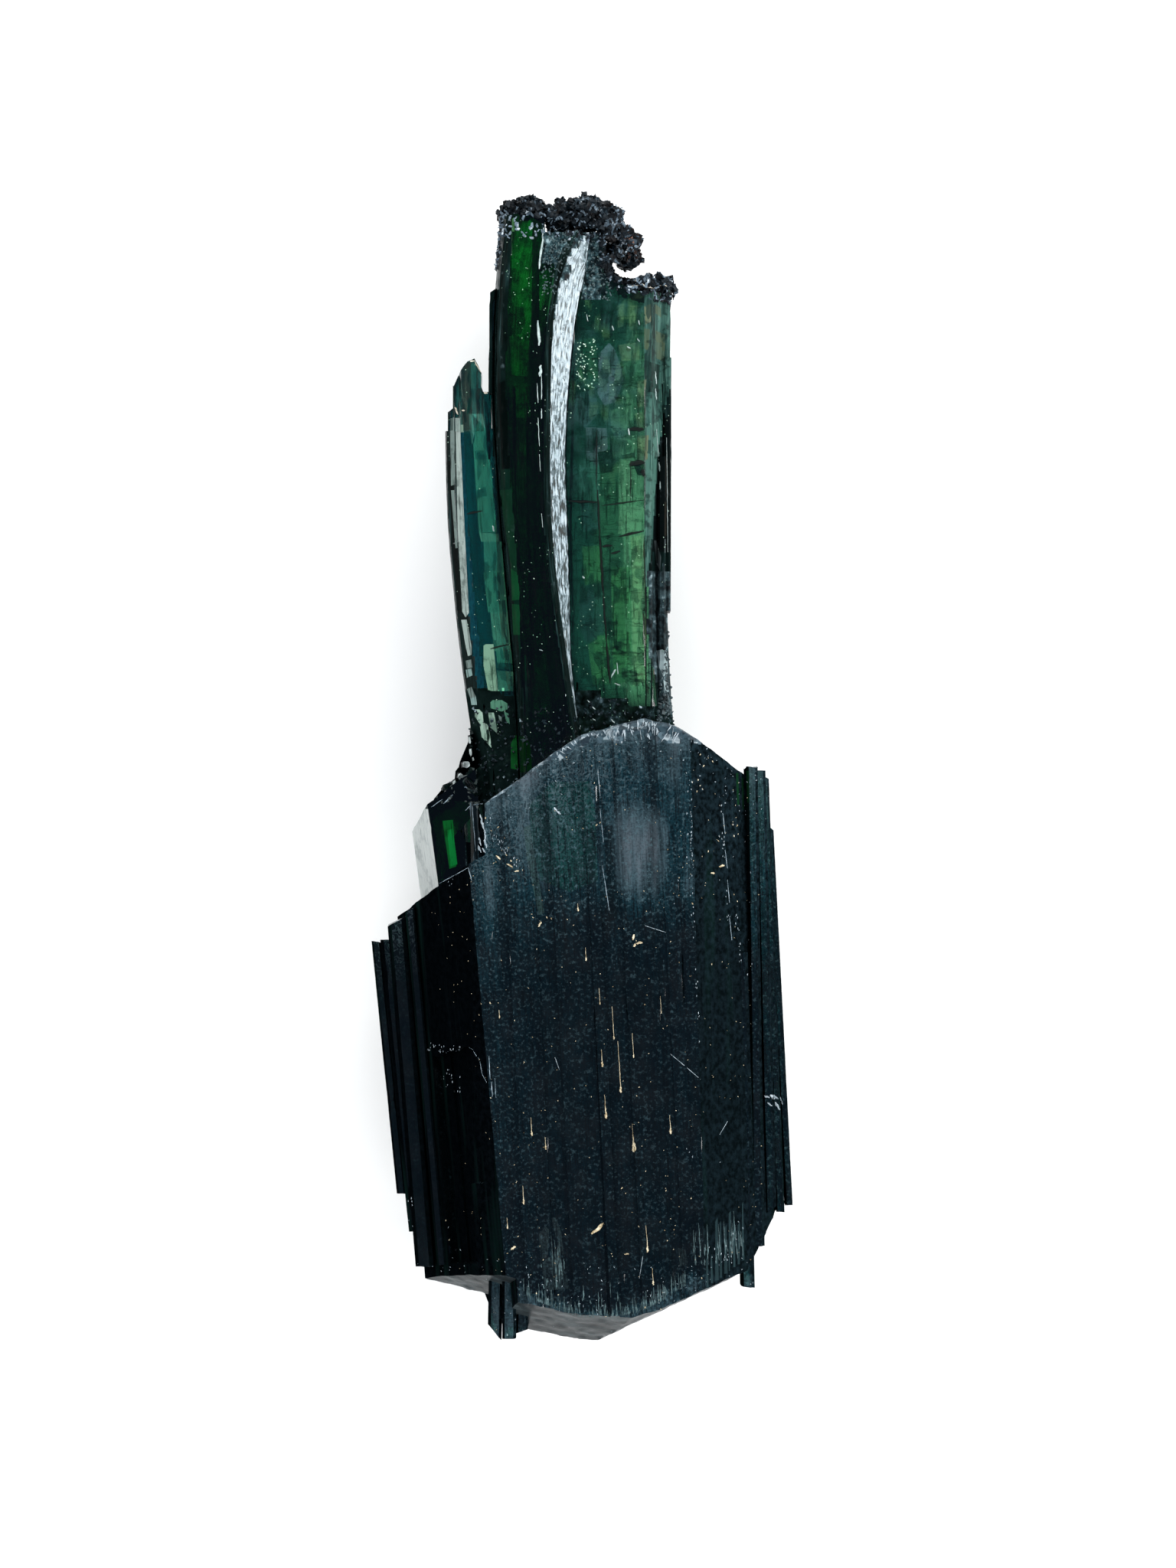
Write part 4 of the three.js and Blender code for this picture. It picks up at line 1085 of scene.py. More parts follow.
def veins(tree, growth, width, length, thick, offset=0.0):
    # thin wandering cleavage cracks, 1 on the line
    field = addNode(tree, "ShaderNodeTexNoise", {
        "Vector": drawnOut(tree, growth, width, length, offset), "Scale": 1.0, "Detail": 1.5}).outputs["Fac"]
    away = maths(tree, "ABSOLUTE", maths(tree, "SUBTRACT", field, 0.5))
    return ramp(tree, away, [(0.0, 1.0), (thick, 0.0)])


def both(tree, first, second):
    return maths(tree, "MULTIPLY", first, second)


def cloudOf(tree, perMetre, detail=5.0):
    return addNode(tree, "ShaderNodeTexNoise", {
        "Vector": placeOf(tree), "Scale": perMetre, "Detail": detail, "Roughness": 0.62}).outputs["Fac"]


def blend(tree, amount, first, second, kind="MIX"):
    node = addNode(tree, "ShaderNodeMix", data_type="RGBA", blend_type=kind)
    for index, value in ((0, amount), (6, first), (7, second)):
        if isinstance(value, bpy.types.NodeSocket):
            tree.links.new(value, node.inputs[index])
        else:
            node.inputs[index].default_value = value
    return node.outputs[2]


def ramp(tree, value, stops):
    return addNode(tree, "ShaderNodeValToRGB", {0: value}, ramp=stops).outputs[0]


def over(tree, colour, hexColour, value, stops=None):
    # lays a plain colour over another, as strongly as value, or as its ramp, says
    return blend(tree, ramp(tree, value, stops) if stops else value, colour, linear(hexColour))


def surface(material, colour, height, relief, strength, roughness=None):
    # what shows: the colour, and fine relief in mm
    tree = material.node_tree
    shader = tree.nodes["Principled BSDF"]
    tree.links.new(colour, shader.inputs["Base Color"])
    if roughness:
        tree.links.new(roughness, shader.inputs["Roughness"])
    bump = addNode(tree, "ShaderNodeBump", {"Height": height, "Distance": relief / 1000, "Strength": strength})
    tree.links.new(bump.outputs[0], shader.inputs["Normal"])
    return material


def withDomains(tree, colour, stir, most=1.0, dim=1.0):
    # lays the patches' tints over a colour, a little stirred so that a patch isn't one flat shade
    domain = addNode(tree, "ShaderNodeAttribute", attribute_name="domain").outputs
    share = both(tree, domain["Alpha"], ramp(tree, stir, [(0.3, 0.6 * most), (0.6, most)]))
    tint = domain["Color"] if dim == 1 else blend(tree, 1.0, domain["Color"], (dim, dim, dim, 1), "MULTIPLY")
    return blend(tree, share, colour, tint)


def darkPrismMaterial():
    # vivianite, natural prism face: too thick to see through, satin from fine growth lines and a blue-grey skin, whose
    # palest tones are painted reflections
    material, tree = startMaterial("vivianiteDarkPrism", 0.3, 0.8, absorb=(420, 240, 330))
    growth = growthOf(tree)
    fine, broad = streaks(tree, growth, 0.13, 3.5, 5), streaks(tree, growth, 1.3, 16, 3, 5)
    cloud, grain, crumbs = cloudOf(tree, 400.0, 8.0), cloudOf(tree, 5200.0, 3.0), cloudOf(tree, 3600.0, 4.0)
    tone = toneOf(tree, streaks(tree, growth, 0.5, 3, 6, 9), 0.34)
    # the upper end of this ramp paints the face's soft reflections into its colour: painted highlights
    skinAndSheen = ramp(tree, tone, [
        (0.0, "#021014"), (0.25, "#092832"), (0.5, "#265866"), (0.75, "#6f8f9c"), (1.0, "#a3b8c6"),
    ])
    skinAndSheen = withDomains(tree, skinAndSheen, fine, 0.75)
    smooth = ramp(tree, tone, [(0.55, 1.0), (0.8, 0.45)])
    skinAndSheen = over(tree, skinAndSheen, "#051119", broad, [(0.36, 0.6), (0.52, 0.0)])
    skinAndSheen = over(tree, skinAndSheen, "#02080b", both(tree, ramp(tree, fine, [(0.38, 0.85), (0.5, 0.0)]), smooth))
    skinAndSheen = over(tree, skinAndSheen, "#030c11", both(tree, ramp(tree, grain, [(0.42, 0.7), (0.52, 0.0)]), smooth))
    pale = ramp(tree, tone, [(0.0, 0.04), (0.1, 0.25), (0.5, 1.0)])
    skinAndSheen = over(tree, skinAndSheen, "#84aebb", both(tree, ramp(tree, crumbs, [(0.54, 0.0), (0.7, 0.85)]), pale))
    # short curled strokes where the skin is crazed, under the crest and down the left of the face
    curls = addNode(tree, "ShaderNodeTexNoise", {
        "Vector": placeOf(tree), "Scale": 1000.0, "Detail": 1.0, "Distortion": 2.6}).outputs["Fac"]
    strokes = ramp(tree, curls, [(0.45, 0.0), (0.5, 0.8), (0.55, 0.0)])
    x, y = axesOf(tree, placeOf(tree))[:2]
    crazed = addNode(tree, "ShaderNodeMapRange", {
        0: maths(tree, "MULTIPLY_ADD", x, -0.75, y), 1: -0.0075, 2: 0.0015}).outputs[0]
    amount = both(tree, both(tree, strokes, crazed), ramp(tree, broad, [(0.35, 0.35), (0.6, 0.9)]))
    skinAndSheen = over(tree, skinAndSheen, "#a9c9d5", amount)
    rough = ramp(tree, cloud, [(0.3, 0.14), (0.62, 0.27)])
    return surface(material, skinAndSheen, maths(tree, "ADD", fine, crumbs), 0.01, 0.8, rough)


def blackSideMaterial(name, offset, dark, light, haze):
    # vivianite, cleaved prism side: almost black with no reflection of its own; pale growth-line streaks paint its
    # gloss, and a trace of blue haze
    material, tree = startMaterial(name, 0.14, level=0.0)
    growth = growthOf(tree)
    fine = streaks(tree, growth, 0.25, 12, 3, offset)
    broad = streaks(tree, growth, 1.2, 22, 2, offset + 3)
    colour = ramp(tree, fine, [(0.3, dark), (0.6, dark), (0.74, light), (0.86, "#4a5c64")])
    colour = over(tree, colour, "#0c1f1c", broad, [(0.55, 0.0), (0.75, 0.5)])
    cloud = ramp(tree, cloudOf(tree, 1900.0, 5.0), [(0.4, 0.0), (0.66, 1.0)])
    colour = over(tree, colour, haze, both(tree, cloud, ramp(tree, toneOf(tree), [(0.0, 0.25), (0.7, 1.0)])))
    colour = withDomains(tree, colour, fine)
    return surface(material, colour, fine, 0.006, 0.6, ramp(tree, fine, [(0.3, 0.1), (0.7, 0.3)]))


def wornFootMaterial():
    # vivianite, broken lower end: dull and grey-green, darker in the hollows
    material, tree = startMaterial("vivianiteWornFoot", 0.3, level=0.015)
    grain, patch = cloudOf(tree, 1500.0), cloudOf(tree, 330.0, 4.0)
    colour = ramp(tree, patch, [(0.36, "#14181a"), (0.55, "#262c2e"), (0.7, "#394143")])
    colour = over(tree, colour, "#4c5958", grain, [(0.56, 0.0), (0.76, 0.4)])
    return surface(material, colour, grain, 0.03, 0.8)


def wornRimMaterial():
    # vivianite, rubbed edge: the polish is gone in small shell-like chips, so it scatters a pale blue-grey
    material, tree = startMaterial("vivianiteWornRim", 0.45, level=0.2)
    chips = addNode(tree, "ShaderNodeTexVoronoi", {"Vector": placeOf(tree), "Scale": 2300.0})
    shade = addNode(tree, "ShaderNodeSeparateColor", {0: chips.outputs["Color"]}).outputs[0]
    grain = cloudOf(tree, 1700.0)
    colour = ramp(tree, shade, [(0.0, "#142027"), (0.45, "#2c3f48"), (0.75, "#4a5d66"), (0.95, "#8a969b")])
    colour = over(tree, colour, "#16242d", grain, [(0.4, 0.8), (0.55, 0.0)])
    return surface(material, colour, chips.outputs["Distance"], 0.08, 0.7)


def bladeEdgeMaterial():
    # vivianite, the long sides of the blades: dark green-black, ridged, with paler chips and green glimpses
    material, tree = startMaterial("vivianiteBladeEdge", 0.2, level=0.01)
    growth = growthOf(tree)
    fine = streaks(tree, growth, 0.25, 5, 4, 2)
    grain = cloudOf(tree, 900.0)
    colour = ramp(tree, fine, [(0.35, "#030706"), (0.56, "#0a1716"), (0.68, "#1c2e2e"), (0.8, "#5d7074")])
    colour = over(tree, colour, "#4a5a5e", grain, [(0.62, 0.0), (0.74, 0.5)])
    colour = withDomains(tree, colour, fine, 1.0, 0.16)
    return surface(material, colour, fine, 0.01, 0.8, ramp(tree, grain, [(0.4, 0.16), (0.6, 0.4)]))


def spearMaterial():
    # vivianite, thin blade: clear teal, with mint domains on its right
    material, tree = startMaterial("vivianiteTealBlade", 0.08, 0.9, absorb=(170, 40, 55))
    growth = growthOf(tree)
    fine = streaks(tree, growth, 0.2, 5, 3, 2)
    mosaic = blocks(tree, growth, 0.4, 1.2)
    colour = ramp(tree, streaks(tree, growth, 0.9, 9, 2), [(0.35, "#053a3e"), (0.65, "#085054")])
    colour = over(tree, colour, "#12282b", axesOf(tree, growth)[0], [(0.16, 0.9), (0.26, 0.0)])
    colour = withDomains(tree, colour, mosaic)
    colour = over(tree, colour, "#123f3c", mosaic, [(0.1, 0.5), (0.4, 0.0)])
    colour = over(tree, colour, "#0c2a28", fine, [(0.34, 0.7), (0.45, 0.0)])
    tone = toneOf(tree, mosaic, 0.3)
    colour = over(tree, colour, "#04110f", tone, [(0.1, 0.95), (0.5, 0.0)])
    return surface(material, colour, fine, 0.008, 0.5, ramp(tree, fine, [(0.3, 0.2), (0.6, 0.06)]))


def darkBladeMaterial():
    # vivianite, thick blade: clear but deep green, blackening towards its foot
    material, tree = startMaterial("vivianiteDeepGreenBlade", 0.08, 1.0, absorb=(460, 130, 320))
    growth = growthOf(tree)
    fine = streaks(tree, growth, 0.16, 4, 4)
    mosaic = blocks(tree, growth, 0.4, 1.5, 3)
    tone = toneOf(tree, mosaic, 0.2)
    colour = ramp(tree, tone, [
        (0.0, "#071412"), (0.18, "#183a30"), (0.4, "#2f7048"), (0.75, "#9cf59c"), (1.0, "#e8ffe8"),
    ])
    colour = withDomains(tree, colour, streaks(tree, growth, 0.3, 3, 4, 7))
    colour = over(tree, colour, "#050f0c", cloudOf(tree, 1300.0), [(0.38, 0.8), (0.5, 0.0)])
    colour = over(tree, colour, "#040c08", fine, [(0.38, 0.9), (0.47, 0.0)])
    cracks = veins(tree, growth, 2.0, 0.8, 0.014, 5)
    sparse = ramp(tree, cloudOf(tree, 170.0, 2.0), [(0.46, 0.0), (0.56, 1.0)])
    colour = over(tree, colour, "#020806", both(tree, cracks, sparse))
    return surface(material, colour, fine, 0.008, 0.5, ramp(tree, fine, [(0.3, 0.24), (0.6, 0.07)]))


def frostMaterial():
    # vivianite, frosted with a druse of tiny crystals: dark blue-grey with bright specks, painted glints of the tiny
    # crystals
    material, tree = startMaterial("vivianiteFrostedPaintedGlints", 0.4, level=0.05)
    growth = growthOf(tree)
    grain, drawn = cloudOf(tree, 1900.0, 4.0), streaks(tree, growth, 0.2, 0.6, 4, 3)
    colour = ramp(tree, grain, [(0.38, "#060c0e"), (0.5, "#1b2c31"), (0.6, "#3d5559"), (0.7, "#8fa5aa")])
    colour = over(tree, colour, "#0a1414", drawn, [(0.36, 0.8), (0.48, 0.0)])
    return surface(material, colour, grain, 0.04, 0.8)


def pearlReflectionMaterial():
    # vivianite, perfect cleavage: a pearly, almost silver sheet, its paleness a painted reflection, pitted above and
    # scratched dark below
    material, tree = startMaterial("vivianitePearlyCleavagePaintedReflection", 0.35, level=0.3)
    growth = growthOf(tree)
    scratch = streaks(tree, growth, 0.13, 1.1, 5)
    specks = cloudOf(tree, 1500.0, 4.0)
    low = addNode(tree, "ShaderNodeMapRange", {
        "Value": axesOf(tree, growth)[1], 1: 83.5, 2: 76.0, 3: 0.0, 4: 0.056}).outputs[0]
    mixed = maths(tree, "SUBTRACT", scratch, low)
    colour = ramp(tree, mixed, [(0.37, "#0f1917"), (0.42, "#3d4e50"), (0.47, "#8899a0"), (0.6, "#b4c2c7")])
    colour = over(tree, colour, "#3a4c50", specks, [(0.38, 0.8), (0.46, 0.0)])
    pits = blocks(tree, growth, 0.22, 0.3, 6)
    colour = over(tree, colour, "#34464a", pits, [(0.0, 0.8), (0.06, 0.0)])
    return surface(material, colour, scratch, 0.03, 0.6)


def broadBladeMaterial():
    # vivianite, broad blade: clear mid green in brick-like domains, cracked across, with milky blue veils
    material, tree = startMaterial("vivianiteGreenBlade", 0.08, 0.92, absorb=(190, 65, 100))
    growth = growthOf(tree)
    fine = streaks(tree, growth, 0.16, 4, 4)
    mosaic = blocks(tree, growth, 0.45, 1.3, 4)
    large = blocks(tree, growth, 0.8, 8.0, 11)
    share, height = axesOf(tree, growth)[:2]
    where = maths(tree, "ADD", share, maths(tree, "MULTIPLY_ADD", large, 0.07, -0.035))
    colour = ramp(tree, where, [
        (0.0, "#24564c"), (0.24, "#2a5c50"), (0.265, "#3a7058"), (0.52, "#3c6e54"), (0.54, "#70a882"),
        (0.775, "#80b488"), (0.80, "#7f9a8c"), (0.9, "#182020"),
    ])
    upper = addNode(tree, "ShaderNodeMapRange", {"Value": height, 1: 72.0, 2: 80.0}).outputs[0]
    colour = over(tree, colour, "#1f4a40", both(tree, upper, ramp(tree, share, [(0.2, 0.9), (0.8, 0.55)])))
    colour = over(tree, colour, "#081412", toneOf(tree), [(0.0, 0.9), (0.9, 0.0)])
    colour = withDomains(tree, colour, mosaic)
    colour = over(tree, colour, "#12332a", mosaic, [(0.08, 0.6), (0.4, 0.0)])
    colour = over(tree, colour, "#6c8a62", both(tree, ramp(tree, mosaic, [(0.78, 0.0), (0.92, 0.4)]), upper))
    veil = both(tree, ramp(tree, cloudOf(tree, 420.0, 8.0), [(0.5, 0.0), (0.64, 0.6)]), upper)
    colour = over(tree, colour, "#5d8088", veil)
    colour = over(tree, colour, "#0f2a22", cloudOf(tree, 1500.0, 4.0), [(0.36, 0.6), (0.46, 0.0)])
    colour = over(tree, colour, "#0a1f18", fine, [(0.37, 0.8), (0.46, 0.0)])
    sparse = ramp(tree, cloudOf(tree, 130.0, 2.0), [(0.45, 0.0), (0.55, 1.0)])
    colour = over(tree, colour, "#04100c", both(tree, veins(tree, growth, 2.6, 0.9, 0.016, 2), sparse))
    return surface(material, colour, fine, 0.008, 0.5, ramp(tree, veil, [(0.0, 0.06), (0.6, 0.25)]))


def crushedMaterial(name, level, pit, dark, middle, light, glow):
    # vivianite, crushed: mottled from dark pits to whitish breaks
    material, tree = startMaterial(name, 0.4, level=level)
    growth = growthOf(tree)
    grain, wide = cloudOf(tree, 1300.0, 4.0), cloudOf(tree, 420.0)
    drawn = streaks(tree, growth, 0.2, 0.8, 4, 3)
    colour = ramp(tree, grain, [(0.36, pit), (0.5, dark), (0.6, middle), (0.7, light)])
    colour = over(tree, colour, glow, wide, [(0.52, 0.0), (0.66, 0.5)])
    colour = over(tree, colour, "#0a1011", drawn, [(0.36, 0.7), (0.48, 0.0)])
    colour = withDomains(tree, colour, grain, 0.95)
    return surface(material, colour, grain, 0.03, 0.7)


def milkyBandMaterial():
    # vivianite, bruised inside along the right: milky grey-teal, streaked, with darker breaks
    material, tree = startMaterial("vivianiteMilkyBand", 0.3, level=0.05)
    growth = growthOf(tree)
    fine, mosaic = streaks(tree, growth, 0.16, 4, 4, 5), blocks(tree, growth, 0.5, 1.6, 7)
    colour = ramp(tree, fine, [(0.34, "#142a26"), (0.5, "#2d4c45"), (0.66, "#46695f")])
    colour = withDomains(tree, colour, mosaic, 0.8, 0.22)
    colour = over(tree, colour, "#132522", mosaic, [(0.1, 0.7), (0.35, 0.0)])
    colour = over(tree, colour, "#0e1c1a", cloudOf(tree, 1300.0), [(0.38, 0.7), (0.48, 0.0)])
    return surface(material, colour, fine, 0.01, 0.6)


def shoulderMaterial():
    # vivianite, small rear prism: clear green where thin, dark elsewhere
    material, tree = startMaterial("vivianiteRearPrism", 0.1, 1.0, absorb=(380, 120, 300))
    growth = growthOf(tree)
    fine = streaks(tree, growth, 0.3, 8, 3)
    tone = toneOf(tree, fine, 0.4)
    colour = ramp(tree, tone, [(0.0, "#081410"), (0.3, "#143424"), (0.7, "#7ccc90"), (1.0, "#e0ffe0")])
    return surface(material, colour, fine, 0.008, 0.5)


def paleFaceMaterial(name, light, dark, share=0.4, tinted=True):
    # vivianite, bright cleavage flake: the light comes back off it, and that reflection is painted in as pale grey
    # with fine lines
    material, tree = startMaterial(name, 0.3, level=0.1)
    growth = growthOf(tree)
    fine = streaks(tree, growth, 0.18, 4, 4, 6)
    grain = cloudOf(tree, 700.0)
    colour = ramp(tree, fine, [(share - 0.04, dark), (share + 0.05, light), (0.8, light)])
    colour = over(tree, colour, dark, grain, [(0.36, 0.7), (0.48, 0.0)])
    if tinted:
        domain = addNode(tree, "ShaderNodeAttribute", attribute_name="domain").outputs
        colour = blend(tree, domain["Alpha"], colour, domain["Color"], "MULTIPLY")
    return surface(material, colour, fine, 0.03, 0.6)


crystalPart = ("vivianite_crystals", "crystal")  # the node, and the slot in the model
crustPart = ("matrix_crust", "crust")


def join(piece, part):
    node, slot = part
    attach(piece, "root")
    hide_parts(node)


def finish(piece, part, *materials):
    # emptying the slots would also forget which face had which, so that is read first and set again
    slots = np.zeros(len(piece.data.polygons), dtype=np.int32)
    piece.data.polygons.foreach_get("material_index", slots)
    piece.data.materials.clear()
    for material in materials:
        piece.data.materials.append(material)
    piece.data.polygons.foreach_set("material_index", slots)
    join(piece, part)


bladeEdge, frost = bladeEdgeMaterial(), frostMaterial()
finish(
    lowerCrystal, crystalPart, darkPrismMaterial(),
    # the left sides are painted darker and the right ones paler: painted shade and painted light on one black material
    blackSideMaterial("vivianiteBlackLeftPaintedShade", 0.0, "#010203", "#05090b", "#070b0e"),
    blackSideMaterial("vivianiteBlackRightPaintedLight", 9.0, "#04080a", "#0c1418", "#17242a"),
    wornRimMaterial(), wornFootMaterial())
finish(
    spearCrystal, crystalPart, spearMaterial(), bladeEdge,
    paleFaceMaterial("vivianitePaleFlakePaintedReflection", "#e6efe9", "#5c6b66"),
    blackSideMaterial("vivianiteTealStep", 4.0, "#08262e", "#12414c", "#0e3840"),
    crushedMaterial("vivianiteDarkFoot", 0.0, "#020505", "#060e0d", "#0f1a19", "#33443f", "#091812"))
finish(darkBlade, crystalPart, darkBladeMaterial(), bladeEdge, pearlReflectionMaterial(), frost)
finish(
    broadBlade, crystalPart, broadBladeMaterial(), bladeEdge, frost, milkyBandMaterial(),
    crushedMaterial("vivianiteCrushedEdge", 0.05, "#06090a", "#1a2528", "#34464a", "#7f9094", "#4c6064"),
    crushedMaterial("vivianiteCrushedFoot", 0.0, "#030605", "#0a1413", "#1c2a2c", "#4c5f66", "#10241a"))
finish(
    shoulderCrystal, crystalPart, shoulderMaterial(), bladeEdge,
    paleFaceMaterial("vivianitePaleSidePaintedReflection", "#9a9f9d", "#6f7775"),
    paleFaceMaterial("vivianiteStreakedColumn", "#4a5c66", "#0b1418", 0.6),
    paleFaceMaterial("vivianiteGreenWindowPaintedLight", "#dfe8df", "#4a5a4a", 0.36))
print("the crystals have their materials")


# Small grains that sit on, or lie within, a finished surface

grainLook = {
    # seed, grains per square mm, size and depth from and to in mm, stretch, and whether they are blocks or balls
    "crustGrains": (5, 6.0, (0.15, 0.6), (-0.08, 0.2), (1.0, 1.0, 0.8), True),
    "crustCrystals": (6, 5.0, (0.15, 0.6), (-0.05, 0.15), (1.0, 1.0, 1.0), True),
    "crustCap": (16, 5.0, (0.3, 0.7), (-0.45, -0.05), (0.8, 1.3, 0.8), True),
    "crustRust": (20, 7.0, (0.12, 0.4), (-0.1, 0.1), (1.0, 1.0, 1.0), True),
    "crustGlints": (17, 4.5, (0.12, 0.42), (-0.25, -0.02), (0.5, 1.3, 0.5), True),
    "siltSpecks": (11, 0.3, (0.05, 0.15), (-0.01, 0.02), (0.8, 1.4, 0.5), False),
    "bruiseSpecks": (12, 0.9, (0.05, 0.18), (-0.01, 0.02), (0.7, 1.8, 0.4), False),
    "bubbles": (18, 9.0, (0.1, 0.22), (-0.01, 0.02), (0.8, 1.3, 0.5), False),
    "bladeSpecks": (13, 0.9, (0.05, 0.13), (-0.01, 0.02), (0.9, 1.2, 0.5), False),
    "footGrit": (14, 2.6, (0.1, 0.36), (-0.05, 0.12), (1.0, 1.0, 1.0), True),
    "shoulderDruse": (15, 2.0, (0.15, 0.34), (-0.05, 0.12), (0.8, 1.2, 0.8), True),
    "edgeBruises": (22, 9.0, (0.1, 0.34), (-0.06, 0.03), (0.7, 1.5, 0.7), True),
    "frostCrystals": (19, 11.0, (0.1, 0.3), (-0.05, 0.06), (0.7, 1.3, 0.7), True),
}
grainJitter = 0.2  # how far a grain's corners stray, in shares of its size
anyTurn = 3.1  # radians, to either side


def grainTree():
    tree = bpy.data.node_groups.new("growGrains", "GeometryNodeTree")
    sockets = [("Geometry", "Geometry"), ("Seed", "Int"), ("Density", "Float"), ("Smallest", "Float"),
               ("Largest", "Float"), ("Shallowest", "Float"), ("Deepest", "Float"), ("Stretch", "Vector"),
               ("Blocky", "Bool"), ("Material", "Material")]
    for name, kind in sockets:
        tree.interface.new_socket(name, in_out="INPUT", socket_type="NodeSocket" + kind)
    tree.interface.new_socket("Geometry", in_out="OUTPUT", socket_type="NodeSocketGeometry")
    given = addNode(tree, "NodeGroupInput").outputs

    def draw(low, high, kind="FLOAT", first=2):
        values = {first: low, first + 1: high, "Seed": given["Seed"]}
        return addNode(tree, "FunctionNodeRandomValue", values, data_type=kind).outputs[first // 2]

    def times(vector, amount):
        return addNode(tree, "ShaderNodeVectorMath", {0: vector, "Scale": amount}, operation="SCALE").outputs[0]

    def anyVector(reach):
        return draw((-reach,) * 3, (reach,) * 3, "FLOAT_VECTOR", 0)

    points = addNode(tree, "GeometryNodeDistributePointsOnFaces", {
        "Mesh": given["Geometry"], "Density": given["Density"], "Seed": given["Seed"]}).outputs
    down = maths(tree, "MULTIPLY", draw(given["Shallowest"], given["Deepest"]), -1.0)
    sunk = addNode(tree, "GeometryNodeSetPosition", {
        "Geometry": points["Points"], "Offset": times(points["Normal"], down)})
    ball = addNode(tree, "GeometryNodeMeshIcoSphere", {"Radius": 0.5, "Subdivisions": 1})
    cube = addNode(tree, "GeometryNodeMeshCube", {"Size": (0.8, 0.8, 0.8)})
    shape = addNode(tree, "GeometryNodeSwitch", {
        "Switch": given["Blocky"], "False": ball.outputs["Mesh"], "True": cube.outputs["Mesh"]}, input_type="GEOMETRY")
    uneven = addNode(tree, "GeometryNodeSetPosition", {"Geometry": shape.outputs[0], "Offset": anyVector(grainJitter)})
    grains = addNode(tree, "GeometryNodeInstanceOnPoints", {
        "Points": sunk.outputs[0], "Instance": uneven.outputs[0], "Rotation": anyVector(anyTurn),
        "Scale": times(given["Stretch"], draw(given["Smallest"], given["Largest"]))})
    real = addNode(tree, "GeometryNodeRealizeInstances", {"Geometry": grains.outputs[0]})
    painted = addNode(tree, "GeometryNodeSetMaterial", {"Geometry": real.outputs[0], "Material": given["Material"]})
    addNode(tree, "NodeGroupOutput", {"Geometry": painted.outputs[0]})
    return tree


growGrains = grainTree()


def sheetOf(sources, keep):
    # a loose sheet of the faces where keep(centres, normals) holds, for grains to be set on
    corners, faces = [], []
    for source in sources:
        points, normals, centres, totals, vertex = readMesh(source.data)
        starts = np.concatenate([[0], np.cumsum(totals)[:-1]])
        for index in np.nonzero(keep(centres, normals))[0]:
            ring = vertex[starts[index]:starts[index] + totals[index]]
            faces.append([len(corners) + k for k in range(len(ring))])
            corners += [at(*points[v]) for v in ring]
    mesh = bpy.data.meshes.new("sheet")
    mesh.from_pydata(corners, [], faces)
    return addObject("sheet", mesh)


def scatter(name, part, sources, material, keep):
    sheet = sheetOf(sources, keep)
    modifier = sheet.modifiers.new("grains", "NODES")
    modifier.node_group = growGrains
    seed, density, size, depth, stretch, blocky = grainLook[name]
    values = {
        "Seed": seed, "Density": density * 1e6, "Smallest": size[0] / 1000, "Largest": size[1] / 1000,
        "Shallowest": depth[0] / 1000, "Deepest": depth[1] / 1000, "Stretch": stretch, "Blocky": blocky,
        "Material": material,
    }
    for item in growGrains.interface.items_tree:
        if item.in_out == "INPUT" and item.name in values:
            modifier[item.identifier] = values[item.name]
    bpy.context.view_layer.update()
    evaluated = sheet.evaluated_get(bpy.context.evaluated_depsgraph_get())
    mesh = bpy.data.meshes.new_from_object(evaluated)
    bpy.data.objects.remove(sheet)
    mesh.name = name
    join(addObject(name, mesh), part)
    print(name, "has", len(mesh.polygons), "triangles")


# The dark crust

crustLook = {
    "subdivide": 2,
    "grainSize": (0.55, 1.2), "grainHeight": 0.22, "fineHeight": 0.06, "lumpHeight": 0.04, "sunk": 0.08,  # mm
    "bite": [
        (2.51, 94.85), (3.11, 94.58), (3.91, 94.11), (5.25, 94.25), (5.52, 93.51), (4.32, 93.38),
        (3.11, 93.58), (2.57, 94.11),
    ],
    "shell": [
        (2.64, 94.81, 2.91, 93.74, 0.2), (2.91, 93.74, 3.51, 93.41, 0.23), (3.44, 93.47, 4.45, 93.34, 0.17),
        (4.38, 93.34, 5.25, 92.67, 0.2), (4.18, 92.47, 5.25, 92.6, 0.13), (5.12, 92.74, 5.79, 92.4, 0.17),
        (5.72, 92.4, 6.59, 92.4, 0.2), (6.52, 92.4, 7.26, 92.87, 0.16), (7.13, 92.8, 7.53, 92.6, 0.11),
        (-9.78, 85.8, -9.37, 85.87, 0.16), (-9.37, 85.8, -8.84, 84.86, 0.13),
        (-11.12, 81.84, -10.85, 81.17, 0.2), (-10.51, 81.5, -10.25, 81.5, 0.2),
        (-8.57, 83.05, -8.23, 83.05, 0.27),
    ],
}


